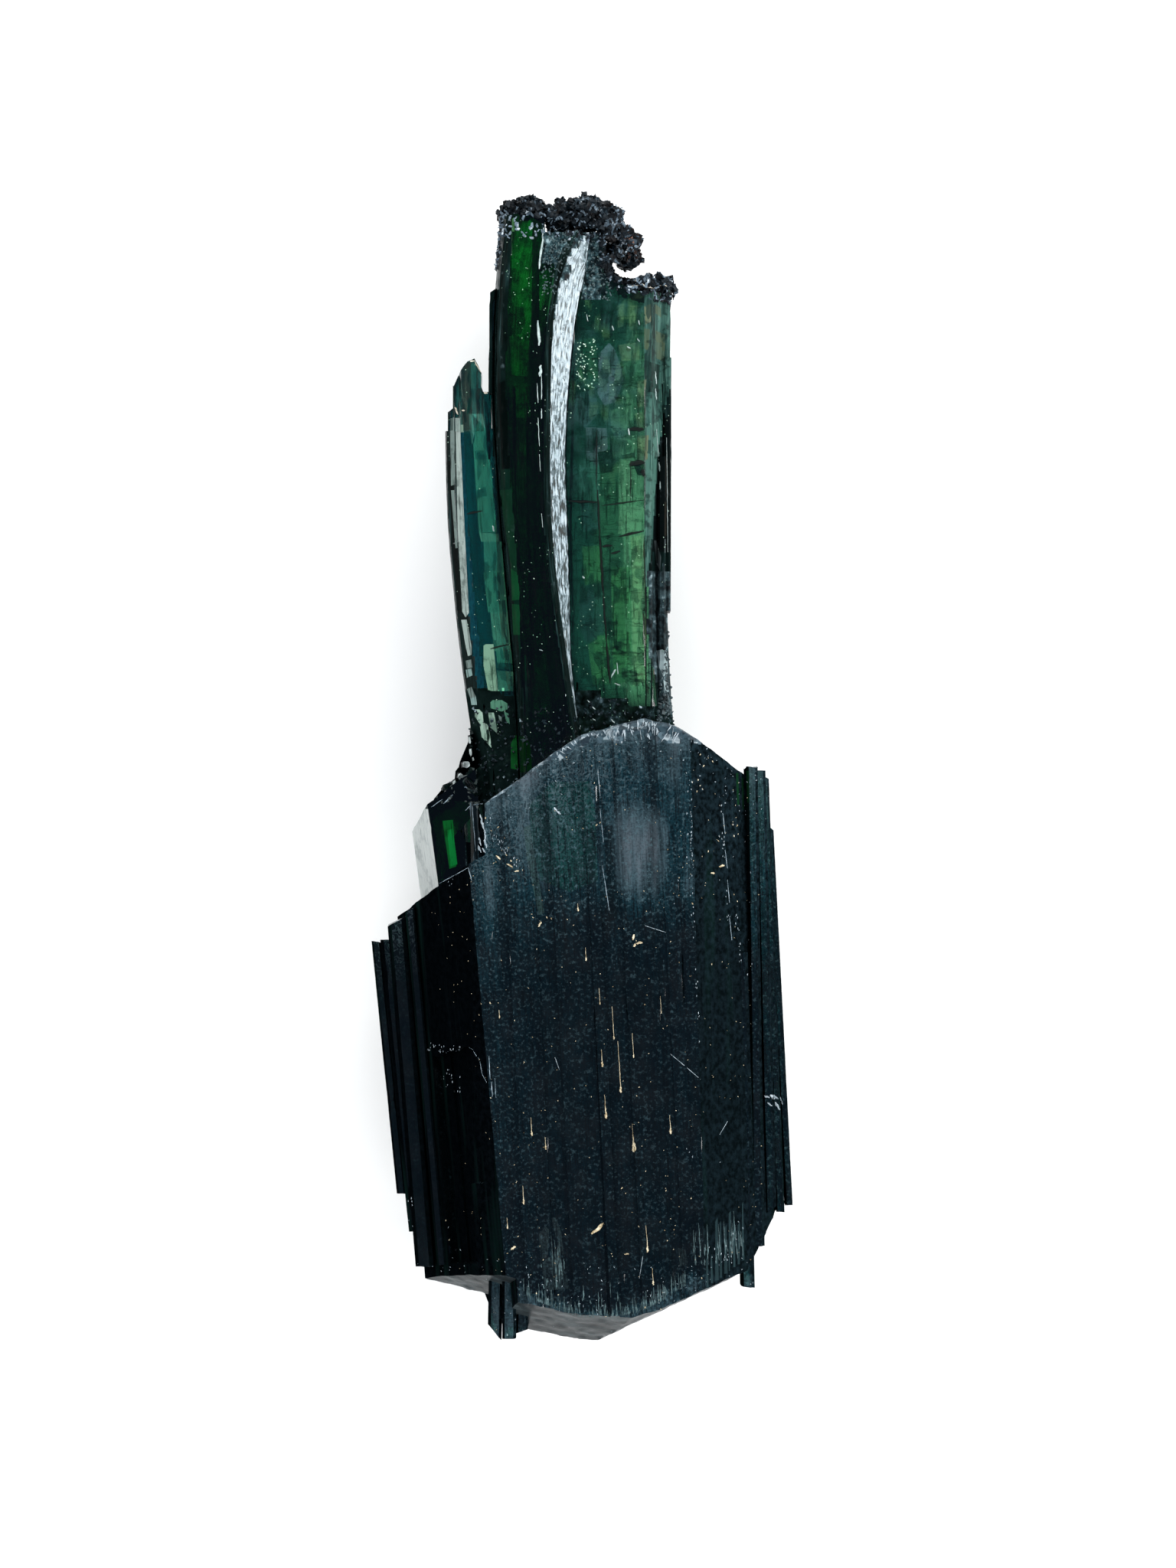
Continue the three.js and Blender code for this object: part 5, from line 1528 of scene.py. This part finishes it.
def buildCrust():
    whole, bite = mergedCopy(cadCrust, "wholeCrust"), outlineBlock("bite", crustLook["bite"])
    piece = combine(whole, bite, "DIFFERENCE", "matrixCrust")
    bpy.data.objects.remove(whole)
    bpy.data.objects.remove(bite)
    build = bmesh.new()
    build.from_mesh(piece.data)
    for _ in range(crustLook["subdivide"]):
        bmesh.ops.subdivide_edges(build, edges=build.edges, cuts=1, use_grid_fill=True)
    bmesh.ops.triangulate(build, faces=build.faces)
    build.normal_update()
    for vertex in build.verts:
        p = vertex.co * 1000
        big = noise.cell(p / crustLook["grainSize"][1]) - 0.5
        cells = noise.voronoi(p / crustLook["grainSize"][0])[0]
        grain = (cells[1] - cells[0]) * crustLook["grainHeight"]
        fine = noise.noise(p * 5.0) * crustLook["fineHeight"]
        vertex.co += vertex.normal * (grain - crustLook["sunk"] + big * crustLook["lumpHeight"] + fine) / 1000
    for face in build.faces:
        face.smooth = False
    build.to_mesh(piece.data)
    build.free()
    return piece


def crustMaterial(name, dark, mid, light, brown):
    # iron-stained matrix crust: dull near-black grains with paler and brown specks
    material, tree = startMaterial(name, 0.6, ior=1.5, level=0.12)
    grain = addNode(tree, "ShaderNodeTexVoronoi", {"Vector": placeOf(tree), "Scale": 1900.0})
    patch = cloudOf(tree, 600.0, 4.0)
    shade = addNode(tree, "ShaderNodeSeparateColor", {0: grain.outputs["Color"]}).outputs[0]
    colour = ramp(tree, shade, [(0.0, dark), (0.7, mid), (0.9, mid), (0.98, light)])
    colour = over(tree, colour, brown, patch, [(0.58, 0.0), (0.72, 0.6)])
    rough = ramp(tree, shade, [(0.0, 0.75), (1.0, 0.3)])
    return surface(material, colour, grain.outputs["Distance"], 0.08, 0.8, rough)


crust = buildCrust()
crustStone = crustMaterial("ironStainedCrust", "#04070a", "#111a20", "#46545e", "#2a211c")
# pale grains that stand in for the crust's glints: painted highlights, on a material no glossier than the crust
crustPaintedGlint = crustMaterial("crustPaintedGlint", "#2c3a44", "#6c7c88", "#c3ced5", "#6a5c4c")
finish(crust, crustPart, crustStone)
print("the crust has", len(crust.data.polygons), "triangles")


def bladeTops(centres, normals):
    # where the crust laps over the blades' broken upper ends and ragged long edges
    x, y, z = centres.T
    ragged = softNoise(centres, (1.3, 1.6, 1.3), 51) * 0.9
    top = np.interp(x, [-7, -3.2, -2.6, 0.0, 1.4, 2.2, 3.2, 8], [98.8, 98.5, 97.2, 96.9, 96.0, 93.0, 92.1, 91.5])
    crown = (y > top + 0.6 * ragged) & (z > 5.4)
    leftEdge = (x < darkLeft(y) + 0.2 + 0.3 * ragged) & (y > 94) & (z > 9)
    return crown | leftEdge


def awayFromBite(centres):
    x, y = centres.T[:2]
    return (x < 2.5) | (x > 5.5) | (y < 93.1) | (y > 95.0)


def glints(centres, normals):
    y, z = centres.T[1:]
    high = (y > 96.5) | (bladeTops(centres, normals) & (y > 91)) | (z > 14.8)
    return awayFromBite(centres) & (normals[:, 2] > 0.1) & high


scatter("crustGrains", crustPart, [darkBlade, broadBlade], crustStone, bladeTops)
scatter("crustCrystals", crustPart, [crust], crustStone, lambda c, n: (n[:, 2] > -0.3) & awayFromBite(c))
scatter("crustCap", crustPart, [crust], crustStone, lambda c, n: (
    (n[:, 1] > 0.2) & ((c[:, 0] < -3.6) | ((c[:, 0] > -2.2) & (c[:, 0] < 2.4)))))
scatter("crustRust", crustPart, [crust], crustMaterial("rustyCrust", "#1c1412", "#3a2a26", "#8a6a5c", "#5a3c30"),
        lambda c, n: (n[:, 2] > -0.2) & (c[:, 0] > 4.0) & (c[:, 1] > 94.9))
scatter("crustGlints", crustPart, [crust, darkBlade, broadBlade], crustPaintedGlint, glints)
print("the crust has its grains")


# Silt in the pits, scratches and specks

siltLook = {
    # tails of silt in the front face: x, top and bottom in mm, and the width of the dot at its foot
    "tails": [
        (1.6, 31.1, 29.8, 0.16), (2.8, 29.5, 26.8, 0.2), (3.4, 26.5, 22.3, 0.34), (4.5, 27.2, 25.2, 0.18),
        (1.8, 25.8, 24.5, 0.3), (2.1, 21.9, 20.1, 0.36), (-4.3, 19.9, 18.5, 0.26), (-3.1, 18.2, 17.3, 0.24),
        (-5.0, 14.0, 12.6, 0.28), (4.5, 19.4, 17.3, 0.52), (7.7, 20.1, 18.7, 0.34), (5.7, 10.6, 8.5, 0.34),
        (-7.1, 29.2, 28.6, 0.18), (0.4, 34.6, 33.6, 0.2), (6.9, 30.4, 29.0, 0.16), (-0.3, 38.4, 37.9, 0.22),
        (6.2, 6.9, 5.6, 0.24), (-6.4, 11.2, 10.4, 0.2),
    ],
    # patches of silt: x, y, length, width and turn in degrees
    "patches": [
        (4.5, 35.5, 0.5, 0.3, 80), (5.0, 35.0, 0.55, 0.3, 10), (4.6, 34.8, 0.3, 0.3, 60),
        (1.4, 10.3, 1.4, 0.55, 40), (-7.2, 42.4, 0.5, 0.25, -40), (-6.2, 41.7, 0.6, 0.22, -30),
        (-5.6, 41.2, 0.4, 0.2, 10), (-3.6, 36.6, 0.5, 0.3, 60), (12.2, 41.6, 0.5, 0.3, 10),
        (11.4, 41.0, 0.35, 0.25, 0), (-5.9, 8.6, 0.5, 0.3, 30), (3.9, 8.1, 0.4, 0.2, 0),
    ],
    # scratches: from x, y to x, y
    "scratches": [
        (7.7, 25.4, 10.3, 23.2), (5.5, 36.5, 7.3, 35.9), (-2.3, 25.1, -1.9, 24.0), (12.7, 19.4, 12.0, 18.3),
        (5.3, 7.9, 5.0, 6.0),
    ],
    # broken scratches, as rows of grains: from x, y to x, y, how many and how far they stray
    "grainRows": [
        (-13.7, 25.8, -12.0, 25.7, 9, 0.28), (-12.0, 25.5, -10.2, 25.9, 12, 0.3),
        (-12.4, 23.3, -10.4, 23.4, 7, 0.4),
        (-12.2, 22.8, -10.6, 21.9, 8, 0.4), (-13.6, 25.5, -11.0, 25.3, 6, 0.1), (9.4, 49.2, 9.7, 37, 30, 0.1),
        (12.1, 47, 12.9, 36, 22, 0.14), (13.4, 39.5, 14.0, 33, 16, 0.25), (9.7, 37, 10.2, 26, 14, 0.12),
        (-7.9, 44.6, -5.4, 41.6, 26, 0.3), (10.2, 8.6, 13.2, 7.4, 14, 0.5), (-15.2, 13, -15.0, 6.5, 12, 0.3),
    ],
    # pale seams and scars on the lower crystal and the shoulder, and the bright chips of its crest
    "seams": [
        (-9.8, 25.8, -9.4, 25.6, 0.06), (-9.4, 25.6, -8.8, 24.7, 0.08), (-8.8, 24.7, -8.6, 23.6, 0.06),
        (-8.6, 23.6, -8.2, 22.9, 0.05), (-8, 25.2, -7.9, 23.2, 0.12), (-7.8, 23, -7.7, 21.7, 0.11),
        (-7.5, 23.3, -7.4, 21.6, 0.08),
        (1.4, 50.1, 1.6, 47.7, 0.13), (1.6, 46.6, 1.9, 43.7, 0.08), (1.8, 41.7, 2.4, 37.8, 0.11),
        (12.3, 46.2, 12.5, 44.4, 0.08), (12.5, 43, 12.7, 41.4, 0.08), (12.7, 40.4, 12.9, 38.4, 0.09),
        (12.9, 37.1, 13.1, 35.1, 0.08), (-8.1, 47.3, -6.6, 48.1, 0.17), (-12.5, 40, -9.8, 41.5, 0.08),
        (-9.5, 46.8, -9.2, 42.9, 0.11), (-10.2, 46.4, -9.7, 46.9, 0.11), (-9.7, 46.9, -8.6, 47, 0.09),
        (-13.2, 46.7, -12.2, 47.4, 0.13), (-12.1, 47, -11.3, 47.8, 0.26), (-10.3, 48.5, -10, 48.4, 0.23),
        (-9.8, 41.5, -9.5, 40.4, 0.13),
    ],
    "chips": [
        (-8.8, 46.1, -8.6, 45.4, 0.27), (-8.7, 45.6, -8.4, 44.8, 0.33), (-8.4, 44.8, -8.3, 44, 0.27),
        (-8.4, 44, -8.2, 43.2, 0.3), (-8.9, 44.1, -8.7, 43.4, 0.27), (-9, 43.4, -8.7, 42.8, 0.3),
        (-8.6, 43.2, -8.3, 42.8, 0.27), (16, 21.4, 16.5, 21.2, 0.33), (16.5, 21.4, 17.3, 21.1, 0.46),
        (16.3, 20.8, 16.7, 20.5, 0.27), (17, 20.8, 17.4, 20.1, 0.4), (17.5, 21.2, 17.7, 20.5, 0.2),
        (5.7, 53.1, 5.9, 52.6, 0.27), (-2.4, 46.7, -2.1, 46.4, 0.27), (-2.1, 46.4, -1.8, 46.1, 0.27),
    ],
    # single pale grains: x and y
    "paleDots": [
        (9.6, 48.9), (10.1, 49.1), (10.3, 48.6), (10, 48.1), (10.5, 48.3), (12, 44.2), (13.3, 44.2),
        (13.2, 45.2), (-6.8, 48.1), (-7.9, 45.8), (9.1, 49.7), (9.2, 48.1), (9.1, 46.2), (9.2, 44.4),
        (9.1, 42.4), (9.3, 40.6), (9.4, 39.1), (9.5, 37.4), (8, 38.4), (8.4, 40.4), (12, 40.4), (13.2, 42.4),
        (13.8, 46.4), (14.3, 43.7), (14.8, 41), (14.7, 38.4), (14.6, 35.1), (14.9, 33), (14.5, 32.1),
        (12, 15.9), (9.1, 17.2), (9.3, 16.9), (9.6, 16.5), (13.7, 10.6), (14.1, 10), (13.2, 9.6), (13.5, 9.1),
        (12.6, 8.6), (-11.7, 9.9), (-10.6, 7.9), (-2.6, 5.8), (-1.2, 3.9), (-4.6, 6.3),
    ],
    "crestBreaks": 46,
    # rubbed growth lines: x from and to, y of the lowest, or None for the foot, how far they spread, longest, count
    "combs": [(-5, 9.2, None, 0.12, 1.6, 130), (-5, 9.2, None, 0.8, 1.2, 50), (-3.7, -1.2, 5.0, 2.6, 3.4, 22),
              (9.6, 14.2, 7.0, 2.4, 3.0, 44), (-0.5, 4.0, 3.4, 1.0, 1.6, 14)],
    # single grains: x and y
    "dots": [
        (9.6, 48.9), (10.1, 49.1), (10.3, 48.6), (10, 48.1), (10.5, 48.3), (12, 44.2), (11.9, 43.8),
        (13.3, 44.2), (13.2, 45.2), (13.6, 45.1), (11, 42.9), (-6.9, 43), (-6.5, 42.6), (-6.1, 42.1),
        (-5.6, 42.2), (-7.6, 41.9), (-7.4, 42), (-5.1, 41.3), (-4.2, 37.2), (-3, 37.2), (-2.6, 37.1),
        (1.3, 45.2), (1.6, 45.4), (10.3, 51.3), (11, 51), (11.4, 50.7), (10.6, 50.3), (13.3, 39.1),
        (13.6, 38.5), (-8.3, 45.8), (-7.8, 44.7), (-7.2, 45), (-11.9, 10.5), (-11.6, 8.8), (6.8, 10.9),
        (8, 10.2), (-1.4, 9.8), (-5.5, 9.6), (-3.3, 7.6), (-2.3, 7.3), (-4.4, 6.3), (-3.9, 4.7), (7.3, 13.6),
        (3.5, 13.8), (2.1, 2.7), (5.5, 3.5), (10.4, 6), (13.1, 8), (9.6, 38.4), (7.7, 35.1), (11.3, 33.1),
        (-7.9, 29.8), (-4.6, 31.1),
    ],
    # splinters and cracks on the blades: from x, y to x, y, and the width
    "paleSplinters": [
        (-3.3, 97.4, -3.7, 93.8, 0.36), (-3.8, 89.3, -3.7, 87.1, 0.44), (-3.6, 85.4, -3.6, 84.4, 0.47),
        (-3.9, 83.8, -3.8, 82.1, 0.13), (-3.5, 84.5, -3.5, 82.4, 0.15), (-3.5, 81.6, -3.5, 80.7, 0.2),
        (-3.8, 80.8, -3.7, 78.3, 0.12), (-3.7, 77.6, -3.6, 76.1, 0.07), (-3.5, 72.4, -3.4, 71.2, 0.07),
        (-0.11, 53.9, -0.17, 53.5, 0.2), (-3.7, 60.5, -3.4, 60.4, 0.13), (-1.4, 56.6, -1.4, 56.4, 0.13),
        (-7.8, 71.4, -7.7, 70.9, 0.27), (7.5, 79.3, 7.6, 69.2, 0.1), (6.8, 77.1, 6.9, 76.3, 0.27),
        (6.9, 75.4, 6.9, 74.7, 0.2), (2.6, 58.1, 3, 58.8, 0.27), (0.5, 56.1, 0.83, 55.8, 0.2),
        (0.83, 55.6, 1.2, 55.3, 0.2), (0.97, 54.5, 1.2, 54.3, 0.2), (2.6, 54.4, 2.9, 54.1, 0.2),
        (0.09, 67, 0.23, 66.8, 0.24), (3.1, 59.4, 3.2, 58.4, 0.13), (2.9, 57.6, 3.4, 57.4, 0.13),
        (6.6, 80, 6.8, 77.3, 0.08), (2.7, 89, 2.8, 88.6, 0.17), (5, 89.5, 5.1, 89.1, 0.17),
        (4, 87.2, 4.3, 87, 0.17), (4.9, 87.9, 5.1, 87.6, 0.15), (6.5, 85.1, 6.6, 84, 0.2),
        (6.5, 83.6, 6.6, 82.6, 0.2), (4.1, 80, 4.2, 79.4, 0.2), (0.43, 90, 0.56, 89.4, 0.13),
    ],
    "cracks": [
        (1.4, 74.6, 1.6, 70.5, 0.13), (1.6, 70.5, 1.9, 65.4, 0.16), (1.9, 65.4, 2.2, 61.1, 0.13),
        (2.2, 61.1, 2.5, 57.6, 0.16), (4.3, 77.2, 4.3, 73.5, 0.07), (3.3, 70.5, 5.5, 71, 0.16),
        (-1.2, 73.6, 1.4, 73.5, 0.16), (1.8, 73.2, 5.5, 73.7, 0.08), (1.8, 69.6, 2.7, 69.7, 0.16),
        (2.6, 69, 3.4, 69.2, 0.15), (4.2, 76.8, 5.5, 77, 0.34), (5.3, 76.4, 5.5, 75.8, 0.27),
        (5.5, 70.5, 5.7, 61.5, 0.08), (-10.1, 72.4, -8.7, 72.7, 0.13), (4.2, 79.9, 5.5, 79.9, 0.27),
        (-8, 60.6, -6.4, 61, 0.11), (1.3, 79.9, 1.3, 74.6, 0.09),
    ],
}


# Round a sliver: the place across its width, how far it stands up in mm, and its share of the swell.
sliverProfile = ((-0.5, -0.05, 0), (-0.18, 0, 1), (0.22, 0, 0.9), (0.5, -0.05, 0), (0.0, -0.12, 0))
sliverStep = 0.35  # mm along it


def buildSilt(name, sources, shapes):
    # low closed slivers that follow the face under them; a shape is its two ends, a width at each and its swell
    corners, faces = [], []
    for source in sources:
        faces += [[v + len(corners) for v in p.vertices] for p in source.data.polygons if p.normal.z > 0.05]
        corners += [v.co for v in source.data.vertices]
    ground = BVHTree.FromPolygons(corners, faces)
    build = bmesh.new()
    rng = random.Random(8)
    for (x0, y0), (x1, y1), w0, w1, swell in shapes:
        start, end = Vector((x0, y0)), Vector((x1, y1))
        along = (end - start).normalized()
        across = Vector((-along.y, along.x))
        rings = []
        steps = max(6, min(40, int((end - start).length / sliverStep)))
        for t in (step / steps for step in range(steps + 1)):
            middle = start.lerp(end, t) + across * rng.uniform(-0.12, 0.12) * max(w0, w1)
            pointed = math.sin(math.pi * (0.06 + 0.88 * t)) ** 0.5
            wide = max((w0 + (w1 - w0) * t ** 2.2) * pointed * rng.uniform(0.75, 1.2), 0.05)
            ring = []
            for place, rise, share in sliverProfile:
                p = middle + across * wide * place
                hit = ground.ray_cast(at(p.x, p.y, 40), Vector((0, 0, -1)))[0]
                if hit is None:
                    break
                ring.append(build.verts.new(hit + Vector((0, 0, (rise + swell * share) / 1000))))
            if len(ring) == len(sliverProfile):
                rings.append(ring)
        for first, second in zip(rings, rings[1:]):
            for k in range(len(first)):
                after = (k + 1) % len(first)
                build.faces.new([first[k], first[after], second[after], second[k]])
        if len(rings) > 1:
            build.faces.new(rings[0])
            build.faces.new(rings[-1])
    bmesh.ops.delete(build, geom=[v for v in build.verts if not v.link_faces], context="VERTS")
    bmesh.ops.triangulate(build, faces=build.faces)
    bmesh.ops.recalc_face_normals(build, faces=build.faces)
    return meshObject(name, build)


def siltMaterial(name, dark, light):
    # dried silt and bruised crystal: chalky, tan to white, matt
    material, tree = startMaterial(name, 0.85, ior=1.45, level=0.2)
    grain = cloudOf(tree, 2600.0, 3.0)
    return surface(material, ramp(tree, grain, [(0.35, dark), (0.65, light)]), grain, 0.02, 0.6)


def siltShapes():
    shapes = []
    for x, top, foot, dot in siltLook["tails"]:
        lean = 0.06 * (top - foot)
        shapes.append(((x - lean, top), (x, foot), 0.05, dot * 0.5, 0.02))
        shapes.append(((x - 0.01, foot + dot * 0.9), (x + 0.01, foot - dot * 0.7), dot * 0.75, dot, 0.05))
    for x, y, length, width, turn in siltLook["patches"]:
        reach = Vector((math.cos(math.radians(turn)), math.sin(math.radians(turn)))) * length / 2
        shapes.append(((x - reach.x, y - reach.y), (x + reach.x, y + reach.y), width * 0.8, width, 0.05))
    rng = random.Random(21)
    for x, y in siltLook["dots"]:
        size, lean = rng.uniform(0.07, 0.17), rng.uniform(-0.07, 0.07)
        shapes.append(((x - lean, y - size / 2), (x + lean, y + size / 2), size * 0.8, size, 0.04))
    return shapes


def slivers(rows, first, last, swell):
    # rows of x, y, x, y and width, as shapes whose two ends have these shares of the width
    return [((a, b), (c, d), w * first, w * last, swell) for a, b, c, d, w in rows]


def crestChips():
    # short bright breaks fanned out under the crest of the lower crystal, and the scars listed above
    rng = random.Random(22)
    shapes = slivers(siltLook["chips"], 1, 0.7, 0.03)
    for x, y in siltLook["paleDots"]:
        size = rng.uniform(0.07, 0.18)
        shapes.append(((x, y - size / 2), (x + rng.uniform(-0.08, 0.08), y + size / 2), size * 0.7, size * 0.8, 0.03))
    for x0, y0, x1, y1, count, stray in siltLook["grainRows"]:
        for _ in range(count):
            t, size = rng.random(), rng.uniform(0.05, 0.13)
            x = x0 + (x1 - x0) * t + rng.uniform(-stray, stray)
            y = y0 + (y1 - y0) * t + rng.uniform(-stray, stray)
            shapes.append(((x, y - size * 0.7), (x, y + size * 0.7), size, size * 0.8, 0.02))
    for _ in range(siltLook["crestBreaks"]):
        x = rng.uniform(-2.2, 8.6)
        depth = np.interp(x, [-2.2, 1, 3, 5, 8, 8.9], [0.5, 0.6, 1.3, 1.8, 1.5, 0.5])
        start = crestAt(x) - rng.uniform(0.1, 0.5 * depth)
        lean = rng.uniform(-0.3, 0.3) - 0.05 * (x - 3)
        end = start - rng.uniform(0.25, 0.7) * depth
        shapes.append(((x, start), (x + lean, end), rng.uniform(0.08, 0.26), 0.05, 0.02))
    return shapes


def footCombs():
    # growth lines rubbed pale: they stand up from the lower edge like the teeth of a comb
    rng = random.Random(23)
    shapes = []
    for low, high, start, spread, most, count in siltLook["combs"]:
        for _ in range(count):
            x = rng.uniform(low, high)
            y = (footEdge(x) if start is None else start) + rng.uniform(0.05, spread)
            length = rng.uniform(0.25, 1) ** 2 * most
            shapes.append(((x, y), (x - 0.05 * length, y + length), rng.uniform(0.08, 0.24), 0.05, 0.012))
    return shapes


shellGround = [crust, darkBlade, broadBlade, spearCrystal]
finish(buildSilt("creamShell", shellGround, slivers(crustLook["shell"], 1, 0.8, 0.08)), crustPart,
       siltMaterial("creamShell", "#8f8472", "#ddd5c4"))
siltTan = siltMaterial("driedSilt", "#857455", "#d9cdb0")
bruised = siltMaterial("bruisedCrystal", "#5c6c74", "#b9c6cc")
blades = [spearCrystal, darkBlade, broadBlade]
fronts = [lowerCrystal, shoulderCrystal, spearCrystal]
scratchRows = [(*row, 0.07) for row in siltLook["scratches"]]
for name, sources, shapes, material in (
    ("siltInPits", [lowerCrystal], siltShapes(), siltTan),
    ("surfaceScratches", [lowerCrystal], slivers(scratchRows, 1, 1, 0.025), bruised),
    ("paleSeams", fronts, slivers(siltLook["seams"], 0.8, 1, 0.02), siltMaterial("paleSeam", "#4d6068", "#a4b4be")),
    ("crestChips", fronts, crestChips(), siltMaterial("crestChip", "#6c7b82", "#a6b0b6")),
    ("footCombs", [lowerCrystal], footCombs(), siltMaterial("rubbedLine", "#1d2b2e", "#4f6466")),
    ("paleSplinters", blades, slivers(siltLook["paleSplinters"], 0.7, 1, 0.04),
     siltMaterial("paleSplinter", "#7f9190", "#b4c2bf")),
    ("darkCracks", blades, slivers(siltLook["cracks"], 1.7, 1.4, 0.035),
     siltMaterial("crackShadow", "#020605", "#07110f")),
):
    finish(buildSilt(name, sources, shapes), crystalPart, material)
print("silt, seams, chips and cracks are on the crystals")


def crestBruises(centres, normals):
    y, z = centres.T[1:]
    low = belowTop(centres) < 3.0 + 2 * softNoise(centres, (2, 2, 2), 34)
    return (normals[:, 2] > 0.4) & (z > 12) & (low | (y < 7.5))


scatter("siltSpecks", crystalPart, [lowerCrystal], siltTan, lambda c, n: (
    (n[:, 2] > 0.5) & (c[:, 2] > 14) & (softNoise(c, (4, 6, 4), 33) > -0.35)))
scatter("bruiseSpecks", crystalPart, [lowerCrystal], bruised, crestBruises)
scatter("bubbles", crystalPart, [broadBlade], siltMaterial("paleBubbles", "#6f9f86", "#cfe4d4"), lambda c, n: (
    (n[:, 2] > 0.5) & (c[:, 0] > -0.5) & (c[:, 0] < 1.2) & (c[:, 1] > 83.4) & (c[:, 1] < 87.9)))
allBlades = [darkBlade, broadBlade, spearCrystal]
scatter("bladeSpecks", crystalPart, allBlades, siltMaterial("paleSpecks", "#5f9a7c", "#c9e0cc"), lambda c, n: (
    (n[:, 2] > 0.6) & (c[:, 2] > 10) & (softNoise(c, (2, 3, 2), 35) > 0.0)))
footGrit = crustMaterial("footGrit", "#0c1417", "#1c2a30", "#7c8e94", "#2a3a40")
scatter("footGrit", crystalPart, allBlades, footGrit, lambda c, n: (
    (n[:, 2] > 0.4) & (c[:, 2] > 9) & (c[:, 1] < 55.6 + 0.8 * softNoise(c, (1, 1, 1), 36))))


# Small crystals grown on the larger ones

def buildDruse():
    # each is a short prism, pale on top with steep dark sides, the pale top a painted highlight, and a broken top edge
    build = bmesh.new()
    rng = random.Random(31)
    shapes = [(druseBed, 5.0, 10.6, 10.9, 1.0)]
    shapes += [(outline, 8.6, 11.3, rng.uniform(11.7, 12.1), 0.72) for outline in druseCrystals]
    for outline, low, shoulder, top, share in shapes:
        middle = Vector((sum(p[0] for p in outline), sum(p[1] for p in outline))) / len(outline)
        rings = []
        for height, wide in ((low, 1.0), (shoulder, 1.06), (top, share)):
            ring = []
            for x, y in outline:
                p = middle.lerp(Vector((x, y)), wide)
                uneven = rng.uniform(-0.15, 0.15) if height > 9 else 0
                ring.append(build.verts.new(at(p.x, p.y, height + uneven)))
            rings.append(ring)
        count = len(outline)
        for lower, upper in zip(rings, rings[1:]):
            for i in range(count):
                j = (i + 1) % count
                build.faces.new([lower[i], lower[j], upper[j], upper[i]]).material_index = 1
        build.faces.new(rings[0][::-1]).material_index = 1
        build.faces.new(rings[-1]).material_index = 1 if outline is druseBed else 0
    bmesh.ops.triangulate(build, faces=build.faces)
    bmesh.ops.recalc_face_normals(build, faces=build.faces)
    return meshObject("footCrystals", build)


def bruisedEdge(centres, normals):
    x, y, z = centres.T
    ragged = y < 65 + 4 * softNoise(centres, (0.6, 1.2, 0.6), 37)
    return (normals[:, 2] > 0.1) & (z > 7) & (x > 6.3) & (x > 7.3 - 0.12 * (60 - y)) & ragged


def frostedTops(centres, normals):
    x, y = centres.T[:2]
    beside = ((x > -3.4) & (x < darkRight(y) - 0.1)) | ((x > stepRight(y)) & (x < 2.6))
    return (normals[:, 2] > 0.2) & (y > 91.5) & beside


finish(buildDruse(), crystalPart, paleFaceMaterial("vivianiteFootCrystalPaintedHighlight", "#a6b0ae", "#2a3434", 0.36, False),
       bladeEdge)
scatter("shoulderDruse", crystalPart, [shoulderCrystal],
        paleFaceMaterial("vivianiteDruse", "#5c6866", "#0c1313", 0.5, False),
        lambda c, n: (c[:, 1] > 46.8) & (n[:, 2] > -0.2) & (c[:, 0] > -13.2))
scatter("edgeBruises", crystalPart, [broadBlade],
        paleFaceMaterial("vivianiteBruisedEdge", "#65757a", "#10191a", 0.5, False), bruisedEdge)
scatter("frostCrystals", crystalPart, [darkBlade, broadBlade],
        paleFaceMaterial("vivianiteFrostCrystals", "#62777a", "#0c1716", 0.5, False), frostedTops)
